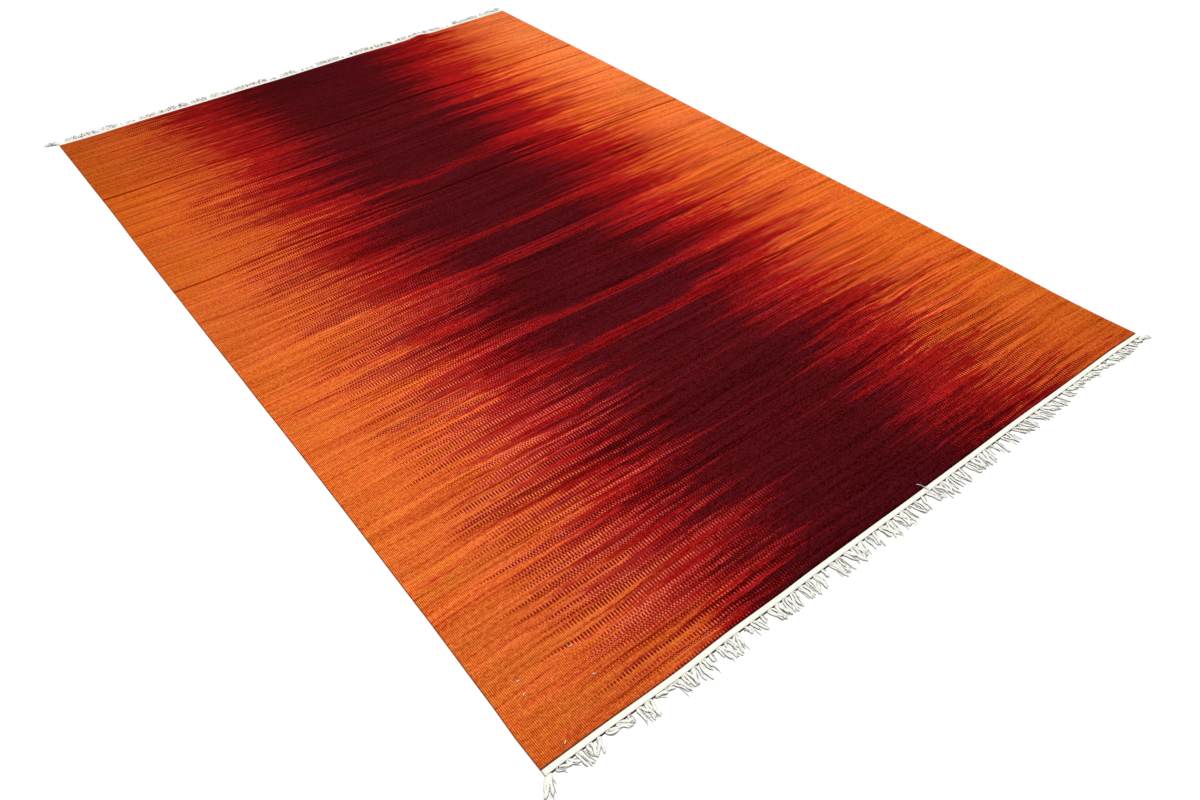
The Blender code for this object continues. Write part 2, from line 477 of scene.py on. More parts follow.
class Signal:
    """A value that flows through a material's nodes and takes part in sums."""

    def __init__(self, draft: "Draft", socket: bpy.types.NodeSocket) -> None:
        """Wraps an output socket."""
        self.draft = draft
        self.socket = socket

    def __add__(self, other: "Signal | float") -> "Signal":
        """The sum."""
        return self.draft.math("ADD", self, other)

    def __sub__(self, other: "Signal | float") -> "Signal":
        """The difference."""
        return self.draft.math("SUBTRACT", self, other)

    def __mul__(self, other: "Signal | float") -> "Signal":
        """The product."""
        return self.draft.math("MULTIPLY", self, other)

    def __truediv__(self, other: "Signal | float") -> "Signal":
        """The quotient."""
        return self.draft.math("DIVIDE", self, other)

    def floor(self) -> "Signal":
        """The whole number below."""
        return self.draft.math("FLOOR", self)

    def part(self) -> "Signal":
        """The part above the whole number."""
        return self.draft.math("FRACT", self)

    def sides(self) -> "Signal":
        """The value brought from 0 and 1 to -1 and 1."""
        return self * 2.0 - 1.0

    def size(self) -> "Signal":
        """The value without its sign."""
        return self.draft.math("ABSOLUTE", self)

    def at_least(self, other: "Signal | float") -> "Signal":
        """The larger of the two."""
        return self.draft.math("MAXIMUM", self, other)

    def at_most(self, other: "Signal | float") -> "Signal":
        """The smaller of the two."""
        return self.draft.math("MINIMUM", self, other)

    def arch(self) -> "Signal":
        """A parabola over each whole step: 0 at its ends and 1 at its middle."""
        centred = self.part().sides()
        return self.draft.math("SUBTRACT", 1.0, centred * centred)

    def window(self, centre: float, half: float, edge: float) -> "Signal":
        """1 around a centre, falling to 0 at half a height from it over a soft edge."""
        away = (self - centre).size()
        return self.draft.stretch(away, Span(half, half - edge))


class Draft:
    """A material under construction, with the few nodes that the rug's finishes use."""

    def __init__(self, name: str) -> None:
        """Starts a material that holds one plain shader.

        Args:
            name: The material's name.
        """
        self.material = bpy.data.materials.new(name)
        self.material.use_nodes = True
        self.tree = self.material.node_tree
        self.shader = self.tree.nodes["Principled BSDF"]

    def node(self, kind: str, **settings: str | bool) -> bpy.types.Node:
        """Adds a node.

        Args:
            kind: Its kind.
            settings: What it is set to.

        Returns:
            The node.
        """
        made = self.tree.nodes.new(kind)
        for key, value in settings.items():
            setattr(made, key, value)
        return made

    def feed(self, socket: bpy.types.NodeSocket, value: "Signal | float") -> None:
        """Gives an input socket what it needs.

        Args:
            socket: The socket.
            value: A signal, which is linked, or a number, which is set.
        """
        if isinstance(value, Signal):
            self.tree.links.new(value.socket, socket)
        else:
            socket.default_value = value

    def math(self, operation: str, *values: "Signal | float") -> Signal:
        """Adds a sum.

        Args:
            operation: What is done to the values.
            values: One to three values.

        Returns:
            The result.
        """
        made = self.node("ShaderNodeMath", operation=operation)
        for socket, value in zip(made.inputs, values):
            self.feed(socket, value)
        return Signal(self, made.outputs[0])

    def places(self, name: str) -> tuple[Signal, Signal]:
        """Reads a map.

        Args:
            name: Its name.

        Returns:
            Its two values.
        """
        held = self.node("ShaderNodeUVMap", uv_map=name)
        parts = self.node("ShaderNodeSeparateXYZ")
        self.tree.links.new(held.outputs[0], parts.inputs[0])
        return Signal(self, parts.outputs[0]), Signal(self, parts.outputs[1])

    def vector(self, x: "Signal | float", y: "Signal | float") -> Signal:
        """Joins two values.

        Args:
            x: The first.
            y: The second.

        Returns:
            The flat vector of the two.
        """
        made = self.node("ShaderNodeCombineXYZ")
        self.feed(made.inputs[0], x)
        self.feed(made.inputs[1], y)
        return Signal(self, made.outputs[0])

    def wander(self, value: Signal, wander: Wander) -> Signal:
        """Smooth noise along one line.

        Args:
            value: The place along the line, in metres.
            wander: The noise's run, strength and middle.

        Returns:
            The noise about its middle.
        """
        made = self.node("ShaderNodeTexNoise", noise_dimensions="1D")
        self.feed(made.inputs["W"], value + wander.run.start)
        made.inputs["Scale"].default_value = wander.run.per_metre
        made.inputs["Detail"].default_value = 1.0
        return Signal(self, made.outputs[0]).sides() * wander.strength + wander.middle

    def cloud(self, x: Signal, y: Signal, cloud: Cloud) -> Signal:
        """Smooth noise over the cloth, about nought.

        Args:
            x: The place across, in metres.
            y: The place along, in metres.
            cloud: The noise's strength, sizes and layers.

        Returns:
            The noise, mostly between -0.6 and 0.6 of its strength.
        """
        made = self.node("ShaderNodeTexNoise", noise_dimensions="2D")
        self.feed(made.inputs["Vector"], self.vector(x * cloud.across, y * cloud.along))
        made.inputs["Scale"].default_value = 1.0
        made.inputs["Detail"].default_value = cloud.detail
        return Signal(self, made.outputs[0]).sides() * cloud.strength

    def lots(self, value: Signal, run: Run) -> tuple[Signal, Signal, Signal]:
        """Three random values, from -1 to 1, that stay the same over one uneven band of the cloth.

        Args:
            value: The place along the cloth, in metres.
            run: How many bands a metre has, and where their noise starts.

        Returns:
            The three values.
        """
        cells = self.node("ShaderNodeTexVoronoi", voronoi_dimensions="1D", feature="F1")
        self.feed(cells.inputs["W"], value + run.start)
        cells.inputs["Scale"].default_value = run.per_metre
        cells.inputs["Randomness"].default_value = 1.0
        parts = self.node("ShaderNodeSeparateColor")
        self.tree.links.new(cells.outputs["Color"], parts.inputs[0])
        first, second, third = (Signal(self, parts.outputs[k]).sides() for k in range(3))
        return first, second, third

    def chance(self, x: "Signal | float", y: "Signal | float") -> Signal:
        """Chooses at random.

        Args:
            x: A whole number.
            y: Another.

        Returns:
            A value from -1 to 1 that belongs to that pair.
        """
        made = self.node("ShaderNodeTexWhiteNoise", noise_dimensions="2D")
        self.feed(made.inputs["Vector"], self.vector(x, y))
        return Signal(self, made.outputs[0]).sides()

    def stretch(self, value: Signal, span: Span) -> Signal:
        """Follows a soft change.

        Args:
            value: The value to read.
            span: The change, which goes downwards where its end is below its start.

        Returns:
            The span's value before its start and after its end, and a smooth change between them.
        """
        low, high = (span.before, span.after) if span.start < span.end else (span.after, span.before)
        made = self.node("ShaderNodeMapRange", interpolation_type="SMOOTHSTEP", clamp=True)
        self.feed(made.inputs["Value"], value)
        made.inputs["From Min"].default_value = min(span.start, span.end)
        made.inputs["From Max"].default_value = max(span.start, span.end)
        made.inputs["To Min"].default_value = low
        made.inputs["To Max"].default_value = high
        return Signal(self, made.outputs[0])

    def region(self, across: Signal, along: Signal, region: Region) -> Signal:
        """A region's strength inside it and 0 outside, by the places that its two spans count."""
        return self.stretch(across, region.across) * self.stretch(along, region.along) * region.strength

    def level(self, value: Signal, stops: Sequence[Place]) -> Signal:
        """The number that holds at a share of the way along a line of stops."""
        return self.dyes(value, [(place, (number, number, number)) for place, number in stops])

    def dyes(self, value: Signal, stops: Sequence[tuple[float, Colour]]) -> Signal:
        """The colour that a run of dyes has at a value.

        Args:
            value: The place along the run, from 0 to 1.
            stops: The places and colours of the dyes.

        Returns:
            The colour.
        """
        made = self.node("ShaderNodeValToRGB")
        ramp = made.color_ramp
        ramp.interpolation = "LINEAR"
        while len(ramp.elements) < len(stops):
            ramp.elements.new(0.5)
        for element, (place, colour) in zip(ramp.elements, stops):
            element.position = place
            element.color = (*colour, 1.0)
        self.feed(made.inputs[0], value)
        return Signal(self, made.outputs[0])

    def shade(self, colour: "Signal | Colour", strength: Signal) -> Signal:
        """A colour made lighter or darker.

        Args:
            colour: The colour to change.
            strength: What each of its three parts is multiplied by.

        Returns:
            The new colour.
        """
        made = self.node("ShaderNodeVectorMath", operation="SCALE")
        if isinstance(colour, Signal):
            self.tree.links.new(colour.socket, made.inputs[0])
        else:
            made.inputs[0].default_value = colour
        self.feed(made.inputs["Scale"], strength)
        return Signal(self, made.outputs[0])

    def glow(self, colour: Signal, strength: Signal, powers: Colour) -> Signal:
        """A colour made lighter or darker, its green and blue changing faster than its red: painted shade
        reddens grooves, and painted highlight makes hairs paler.

        Args:
            colour: The colour to change.
            strength: How much lighter or darker it gets.
            powers: How fast each of its three parts follows that.

        Returns:
            The new colour.
        """
        parts = self.node("ShaderNodeCombineXYZ")
        for socket, power in zip(parts.inputs, powers):
            self.feed(socket, strength if power == 1.0 else self.math("POWER", strength, power))
        made = self.node("ShaderNodeVectorMath", operation="MULTIPLY")
        self.tree.links.new(colour.socket, made.inputs[0])
        self.tree.links.new(parts.outputs[0], made.inputs[1])
        return Signal(self, made.outputs[0])

    def tint(self, share: Signal, first: "Signal | Colour", second: "Signal | Colour") -> Signal:
        """A colour between two others.

        Args:
            share: 0 for the first colour, 1 for the second.
            first: The colour at 0.
            second: The colour at 1.

        Returns:
            The mixed colour.
        """
        made = self.node("ShaderNodeMix", data_type="RGBA", clamp_factor=True)
        self.feed(made.inputs[0], share)
        for socket, colour in ((made.inputs[6], first), (made.inputs[7], second)):
            if isinstance(colour, Signal):
                self.tree.links.new(colour.socket, socket)
            else:
                socket.default_value = (*colour, 1.0)
        return Signal(self, made.outputs[2])

    def complete(self, colour: Signal, height: Signal, depth: float, surface: "Surface") -> bpy.types.Material:
        """Joins the colour and the relief to the shader.

        Args:
            colour: The colour all over the piece.
            height: The relief, from 0 to 1.
            depth: How deep the relief is, in metres.
            surface: The numbers that are the same all over.

        Returns:
            The finished material.
        """
        self.tree.links.new(colour.socket, self.shader.inputs["Base Color"])
        bump = self.node("ShaderNodeBump")
        bump.inputs["Distance"].default_value = depth
        bump.inputs["Strength"].default_value = 1.0
        self.feed(bump.inputs["Height"], height)
        self.tree.links.new(bump.outputs[0], self.shader.inputs["Normal"])
        surface.apply(self.shader)
        return self.material


@dataclass(frozen=True)
class Surface:
    """What a shader holds that is the same all over a piece."""

    roughness: float
    specular: float
    sheen: float
    sheen_roughness: float
    sheen_tint: Colour

    def apply(self, shader: bpy.types.Node) -> None:
        """Sets the shader's own sockets.

        Args:
            shader: The shader.
        """
        shader.inputs["Roughness"].default_value = self.roughness
        shader.inputs["Metallic"].default_value = 0.0
        shader.inputs["Specular IOR Level"].default_value = self.specular
        shader.inputs["Sheen Weight"].default_value = self.sheen
        shader.inputs["Sheen Roughness"].default_value = self.sheen_roughness
        shader.inputs["Sheen Tint"].default_value = (*self.sheen_tint, 1.0)


class Bead(NamedTuple):
    """Where a bead of weft is, as values that flow through the wool's nodes.

    It holds the shares across and along, the same in metres, the height of its pick in metres and as a share
    of the length, the number of the warp below it, the number of its pick, 0 or 1 by the shuttle that it came
    from, and the share from the cloth's middle line.
    """

    across: Signal
    along: Signal
    x: Signal
    y: Signal
    level: Signal
    share: Signal
    warp: Signal
    pick: Signal
    shuttle: Signal
    off_middle: Signal


@dataclass(frozen=True)
class DyedWool:
    """The weft-faced wool: a space-dyed weft, orange at its ends and burgundy in the middle.

    Spans across and along count in shares of the rug's width and length unless a comment says otherwise.
    Places in the dyed run count in the same shares, outwards from its burgundy middle.
    """

    plan: ClothPlan
    surface: Surface = Surface(0.95, 0.0, 0.015, 0.7, (0.9, 0.25, 0.1))
    # The dyes from the middle of the weft outwards, by the share of the rug's width.
    dyes: tuple[tuple[float, Colour], ...] = (
        (0.00, (0.068, 0.0034, 0.0062)),
        (0.085, (0.083, 0.0039, 0.0065)),
        (0.139, (0.102, 0.0041, 0.0065)),
        (0.163, (0.165, 0.0045, 0.0067)),
        (0.182, (0.300, 0.0060, 0.0074)),
        (0.240, (0.392, 0.0074, 0.0079)),
        (0.300, (0.460, 0.0125, 0.0088)),
        (0.314, (0.590, 0.0520, 0.0150)),
        (0.328, (0.770, 0.1060, 0.0195)),
        (0.420, (0.770, 0.1190, 0.0160)),
        (0.50, (0.690, 0.1190, 0.0105)),
    )
    salmon: Colour = (0.700, 0.098, 0.072)
    # The paler colour of the far right's painted glare and of the paler patch at the left.
    glare_and_pale_tint: Colour = (0.860, 0.260, 0.100)
    # How pale the weft's middle was dyed, by the share along the rug: 0 is burgundy, 1 is red.
    pale_lots: tuple[Place, ...] = (
        (0.000, 0.00),
        (0.090, 0.14),
        (0.120, 0.40),
        (0.138, 0.16),
        (0.150, 0.50),
        (0.158, 0.10),
        (0.185, 0.04),
        (0.205, 0.40),
        (0.228, 0.32),
        (0.236, 0.06),
        (0.250, 0.06),
        (0.268, 0.34),
        (0.300, 0.10),
        (0.330, 0.12),
        (0.352, 0.04),
        (0.372, 0.12),
        (0.385, 0.32),
        (0.425, 0.08),
        (0.462, 0.04),
        (0.492, 0.04),
        (0.515, 0.42),
        (0.530, 0.12),
        (0.600, 0.05),
        (0.622, 0.30),
        (0.668, 0.34),
        (0.700, 0.12),
        (0.760, 0.30),
        (0.845, 0.26),
        (0.880, 0.08),
        (0.920, 0.26),
        (1.000, 0.00),
    )
    # The palest lots: their place along the rug, half height in metres, and strength.
    pale_bands: tuple[Row, ...] = (
        Row(0.2885, 0.028, 0.86),
        Row(0.3440, 0.020, 0.88),
        Row(0.4520, 0.030, 0.76),
        Row(0.5020, 0.021, 0.72),
        Row(0.6470, 0.034, 0.78),
    )
    # Darker picks: their place along the rug, half height in metres, and strength.
    dark_picks: tuple[Row, ...] = (
        Row(0.612, 0.0055, 0.56),
        Row(0.735, 0.0045, 0.30),
        Row(0.800, 0.0050, 0.42),
        Row(0.8345, 0.0065, 0.58),
    )

    # How soft the edges of those bands and picks are, in metres.
    pale_edge: float = 8.0 * MM
    dark_edge: float = 3.0 * MM

    # How far the picks arch from straight, in metres: everywhere, and in small hills near the near end.
    arching: Cloud = Cloud(0.020, 1.1, 1.7)
    hills: Cloud = Cloud(0.008, 5.5, 12.0)
    hilly: Span = Span(0.50, 0.10)

    # Where the dye lots and the lighter and darker picks change.
    wide_lots: Run = Run(21.0)
    slim_lots: Run = Run(62.0, 5.0)
    fine_lots: Run = Run(130.0, 8.0)
    slim_tones: Run = Run(75.0, 9.0)
    fine_tones: Run = Run(190.0, 2.0)

    # The middle of the dyed run, how far the lots and each single pick move it, and the seed of those picks.
    run_middle: float = 0.496
    shifts: Shares = Shares(0.020, 0.014, 0.017)
    single_shift: float = 0.024
    single_seed: float = 7.0

    # How much the run is stretched: everywhere, and by the lots, the paler lots and the streaks.
    run_spread: float = 0.93
    spreads: Shares = Shares(0.09, 0.06, 0.05)
    pale_spread: float = 0.22
    streak_spreads: Edges = Edges(0.30, 0.10)

    # Long streaks and their tips, how lively they and the fine lots are, and how far they move an edge.
    streaks: Cloud = Cloud(1.0, 6.0, 110.0, 2.0)
    tips: Cloud = Cloud(1.0, 24.0, 170.0)
    lively: Wander = Wander(Run(7.0, 3.0), 0.9, 0.8)
    least_lively: float = 0.35
    streak_edges: Edges = Edges(0.045, 0.022)

    # How far apart the two shuttles' runs lie: in turn along the cloth, and more at the left and the right.
    combs: Wander = Wander(Run(62.0, 11.0), 0.24, 0.002)
    left_comb: Region = Region(Span(0.55, 0.30), Span(1.2, 0.20), 0.038)
    right_comb: Region = Region(Span(0.55, 0.68), Span(1.1, 0.20), 0.045)
    uncombed_sides: Span = Span(0.47, 0.37)
    # Which shuttle leads: how much the fine lots have a say in it, and the change from one to the other.
    fine_say: Span = Span(0.55, 0.25, 0.2, 1.4)
    leading: Span = Span(-0.01, 0.01, -1.0, 1.0)

    # The near left corner, which stays orange further in. It counts along in metres.
    orange_corner: Region = Region(Span(0.31, 0.19), Span(0.12, 0.03), 0.095)

    # How much darker than their neighbours ticks may get, up to which place, and how much lighter.
    tick_depth: float = 0.045
    darkest_red: float = 0.20
    tick_rise: Span = Span(0.26, 0.33, 0.045, 0.135)

    # How the burgundy's width changes from lot to lot, which is more than the orange's does.
    inner_lots: Shares = Shares(0.026, 0.016, 0.012)
    inner_along: Span = Span(0.90, 0.60, 0.5, 1.0)
    inner_edge: Span = Span(0.28, 0.20)

    # How unevenly a pale lot took its dye: the streaks and lots inside it, and those outside it.
    pale_streaks: Edges = Edges(0.60, 0.3)
    pale_slim: float = 0.12
    pale_fine: float = 0.18
    stray_streaks: float = 0.2
    stray_fine: float = 0.05
    # The place in the dyed run that its middle starts from, how far a pale lot moves it, and at most where to.
    inmost: float = 0.05
    pale_rise: float = 0.162
    palest: float = 0.1735

    # Salmon ticks: how far they stand out, and where in the run, across and along they are.
    salmon_rise: Span = Span(0.028, 0.058)
    salmon_outer: Span = Span(0.375, 0.310)
    salmon_inner: Span = Span(0.13, 0.23)
    salmon_across: Span = Span(0.60, 0.40, 0.2, 1.0)
    salmon_along: Span = Span(0.62, 0.25, 0.18, 0.64)
    # Dark ticks: how far they stand out.
    dark_drop: Span = Span(0.015, 0.085)

    # Where the wool is painted paler: painted glare at the far right, where sheen from the light falls, and a
    # little paler at the left.
    glare_and_pale_regions: tuple[Region, ...] = (
        Region(Span(0.78, 1.0), Span(0.15, 0.95), 0.34),
        Region(Span(0.28, 0.12), Span(0.85, 0.45), 0.09),
    )

    # Lighter and darker picks and beads. The first spans count outwards from the cloth's middle line.
    tone_streaks: Cloud = Cloud(1.0, 3.5, 110.0, 2.0)
    streaky: Span = Span(0.42, 0.30, 0.22, 0.40)
    spotty: Span = Span(0.32, 0.18, 0.14, 0.40)
    grain: Cloud = Cloud(0.30, 110.0, 190.0, 2.0)
    slim_tone: float = 0.07
    fine_tone: float = 0.07
    tone: float = 1.02
    # Picks that are marked darker here and there.
    marks: Cloud = Cloud(1.1, 1.6, 90.0)
    marked: Span = Span(0.78, 0.92, 0.0, -0.26)
    # Darker beads at every other warp, between the burgundy and the selvedges.
    hatches: Cloud = Cloud(0.34, 5.0, 75.0)
    hatched_outer: Span = Span(0.44, 0.34)
    hatched_inner: Span = Span(0.12, 0.22)
    lightest_hatch: float = 0.05
    hatch_strength: float = 1.3

    # Lighter and darker parts of the whole cloth.
    broad: float = 0.98
    broad_lots: float = 0.06
    broad_pale: float = 0.12
    patches: Cloud = Cloud(0.10, 3.0, 5.0, 2.0)
    # Painted light: how much the right is paler than the left, as the light falls, at the near end and further
    # along.
    right_near: float = -0.08
    right_along: float = 0.34
    # The two ends are deeper, and the first picks next to the band are darkened by painted shade, as if in
    # shadow below the rest (in metres from the band).
    deep_ends: Span = Span(0.0, 0.20, 0.83, 1.0)
    shaded_first_picks: Span = Span(1.5 * MM, 4.0 * MM, 0.38, 1.0)

    # The bead's relief, in height and in light, and the light of a dark and of a salmon tick.
    hairs: Cloud = Cloud(1.0, 1300.0, 1300.0, 2.0)
    relief_depth: float = 0.7 * MM
    rib_between_beads: float = 0.4
    hair_height: float = 0.35
    light: Relief = Relief(0.74, 0.24, 0.40, 0.335)
    tick_light: float = 0.985
    dark_light: float = -0.42
    salmon_light: float = 0.16
    # The least and most light, and how fast the wool's red, green and blue follow it.
    least_light: float = 0.05
    most_light: float = 1.5
    followed: Colour = (1.0, 2.2, 2.5)

    def dress(self) -> bpy.types.Material:
        """Builds the material.

        Returns:
            The material, whose pattern follows the weft and warp of the cloth.
        """
        draft = Draft("dyed_wool")
        across, along = draft.places(CLOTH_MAP)
        x = across * self.plan.width
        y = along * self.plan.length
        # The weft rows are beaten in slightly unevenly, so they arch a little across the cloth.
        hills = draft.cloud(x, y, self.hills) * draft.stretch(along, self.hilly)
        bent = y + draft.cloud(x, y, self.arching) + hills
        warp = (x / self.plan.warp_pitch).floor()
        shuttle = draft.math("FLOORED_MODULO", warp, 2.0)
        rise = bent / self.plan.bead_height - shuttle * 0.5
        pick = rise.floor() * 2.0 + shuttle
        level = (pick * 0.5 + 0.5) * self.plan.bead_height
        share = level / self.plan.length
        bead = Bead(across, along, x, y, level, share, warp, pick, shuttle, (across - 0.5).size())
        pale = self.paleness(draft, bead)
        reached, salmon, dark = self.reached(draft, bead, pale)
        colour = draft.tint(salmon, draft.dyes(reached, self.dyes), self.salmon)
        far_right_glare, left = (draft.region(across, along, region) for region in self.glare_and_pale_regions)
        # Painted glare: the far right is tinted paler where sheen from the light falls; the near left is a
        # little paler too.
        colour = draft.tint(far_right_glare + left, colour, self.glare_and_pale_tint)
        colour = draft.shade(colour, self.broad_tone(draft, bead, pale))
        rib = (x / self.plan.warp_pitch).arch()
        hump = rise.arch()
        hairs = draft.cloud(x, y, self.hairs)
        ribbed = rib * (hump * (1.0 - self.rib_between_beads) + self.rib_between_beads)
        ticks = dark * self.dark_light + salmon * self.salmon_light + self.tick_light
        # Painted shade in the grooves between ribs and beads and painted highlight on their crests and hairs,
        # times the beads' own tones and ticks.
        light = self.bead_tone(draft, bead) * self.light.of(rib, hump, hairs) * ticks
        colour = draft.glow(colour, light.at_least(self.least_light).at_most(self.most_light), self.followed)
        return draft.complete(colour, ribbed + hairs * self.hair_height, self.relief_depth, self.surface)

    def paleness(self, draft: Draft, bead: Bead) -> Signal:
        """How pale the dye lot of a bead's pick is.

        Args:
            draft: The material.
            bead: Where the bead is.

        Returns:
            0 where the weft's middle is burgundy, and 1 where it is red.
        """
        pale = draft.level(bead.share, self.pale_lots)
        for band in self.pale_bands:
            window = bead.level.window(band.share * self.plan.length, band.first, self.pale_edge)
            pale = pale.at_least(window * band.second)
        return pale

    def comb(self, draft: Draft, bead: Bead) -> Signal:
        """How far apart the two shuttles' places in the dyed run are.

        Args:
            draft: The material.
            bead: Where the bead is.

        Returns:
            The distance, as a share of the rug's width.
        """
        left = draft.region(bead.across, bead.share, self.left_comb)
        right = draft.region(bead.across, bead.share, self.right_comb)
        apart = draft.wander(bead.level, self.combs) + left + right
        return apart.at_least(0.0) * draft.stretch(bead.off_middle, self.uncombed_sides)

    def reached(self, draft: Draft, bead: Bead, pale: Signal) -> tuple[Signal, Signal, Signal]:
        """How far out along the dyes each bead of weft lies.

        Args:
            draft: The material.
            bead: Where the bead is.
            pale: How pale its dye lot is.

        Returns:
            The place in the dyed run, and how far the bead is a salmon or a dark tick.
        """
        wide_shift, wide_spread, _ = draft.lots(bead.level, self.wide_lots)
        slim_shift, slim_spread, slim_order = draft.lots(bead.level, self.slim_lots)
        fine_shift, fine_spread, fine_order = draft.lots(bead.level, self.fine_lots)
        lively = draft.wander(bead.level, self.lively).at_least(self.least_lively)
        streaks = draft.cloud(bead.x, bead.level, self.streaks)
        tips = draft.cloud(bead.x, bead.level, self.tips)
        single = draft.chance(bead.pick, self.single_seed) * self.single_shift
        shift = self.shifts.of(wide_shift, slim_shift, fine_shift * lively) + single
        # Two shuttles take turns, and each has its own place in the dyed run, which makes combs of ticks.
        order = slim_order + fine_order * draft.stretch(bead.across, self.fine_say)
        sided = shift + bead.shuttle.sides() * draft.stretch(order, self.leading) * self.comb(draft, bead)
        spread = self.spreads.of(wide_spread, slim_spread, fine_spread * lively)
        spread = spread + pale * self.pale_spread + self.run_spread
        spread = spread + self.streak_spreads.of(streaks * lively, tips)
        moved = self.streak_edges.of(streaks * lively, tips)
        moved = moved + draft.region(bead.across, bead.level, self.orange_corner)
        plain = ((bead.across - self.run_middle + shift) * spread).size() + moved
        combed = ((bead.across - self.run_middle + sided) * spread).size() + moved
        combed = combed.at_least((plain - self.tick_depth).at_most(self.darkest_red))
        combed = combed.at_most(plain + draft.stretch(plain, self.tick_rise))
        inner = self.inner_lots.of(wide_spread, slim_spread, fine_spread)
        inner = inner * draft.stretch(bead.share, self.inner_along)
        combed = combed + inner * draft.stretch(combed, self.inner_edge)
        uneven = self.pale_streaks.of(streaks, tips) + slim_shift * self.pale_slim + fine_shift * self.pale_fine
        ragged = pale * (uneven + 1.0) + fine_shift * self.stray_fine + streaks * self.stray_streaks
        reached = combed.at_least((ragged * self.pale_rise + self.inmost).at_most(self.palest))
        salmon = draft.stretch(combed - plain, self.salmon_rise)
        salmon = salmon * draft.stretch(plain, self.salmon_outer) * draft.stretch(plain, self.salmon_inner)
        salmon = salmon * draft.stretch(bead.across, self.salmon_across)
        salmon = salmon * draft.stretch(bead.share, self.salmon_along)
        return reached, salmon, draft.stretch(plain - combed, self.dark_drop)

    def bead_tone(self, draft: Draft, bead: Bead) -> Signal:
        """How light or dark each bead of weft is.

        Args:
            draft: The material.
            bead: Where the bead is.

        Returns:
            The bead's own strength, about 1.
        """
        _, _, slim = draft.lots(bead.level, self.slim_tones)
        _, _, fine = draft.lots(bead.level, self.fine_tones)
        streaks = draft.cloud(bead.x, bead.level, self.tone_streaks)
        streaks = streaks * draft.stretch(bead.off_middle, self.streaky)
        spots = draft.chance(bead.warp, bead.pick) * draft.stretch(bead.off_middle, self.spotty)
        marked = draft.stretch(fine + draft.cloud(bead.x, bead.level, self.marks), self.marked)
        hatch = draft.cloud(bead.x, bead.level, self.hatches) * bead.shuttle.sides()
        hatch = hatch * draft.stretch(bead.off_middle, self.hatched_outer)
        hatch = hatch * draft.stretch(bead.off_middle, self.hatched_inner)
        hatch = hatch.at_most(self.lightest_hatch) * self.hatch_strength
        tone = slim * self.slim_tone + fine * self.fine_tone + streaks
        tone = tone + draft.cloud(bead.x, bead.y, self.grain) + spots + marked + hatch + self.tone
        for dark in self.dark_picks:
            window = bead.level.window(dark.share * self.plan.length, dark.first, self.dark_edge)
            tone = tone * (window * -dark.second + 1.0)
        return tone

    def broad_tone(self, draft: Draft, bead: Bead, pale: Signal) -> Signal:
        """How light or dark the cloth around each bead is.

        Args:
            draft: The material.
            bead: Where the bead is.
            pale: How pale its dye lot is.

        Returns:
            The cloth's strength, about 1.
        """
        _, _, wide = draft.lots(bead.level, self.wide_lots)
        patches = draft.cloud(bead.x, bead.level, self.patches)
        broad = wide * self.broad_lots + patches + pale * self.broad_pale + self.broad
        # Painted light: the right is a little darker than the left at the near end and lighter further along,
        # as the light falls.
        painted_light_slope = bead.across.sides() * (bead.along * self.right_along + self.right_near) + 1.0
        from_end = draft.math("SUBTRACT", 0.5, (bead.along - 0.5).size())
        ends = draft.stretch(from_end, self.deep_ends)
        # Painted shade: the first picks next to each band are darkened, as if in shadow.
        first_picks_shade = draft.stretch(from_end * self.plan.length, self.shaded_first_picks)
        return broad * painted_light_slope * ends * first_picks_shade


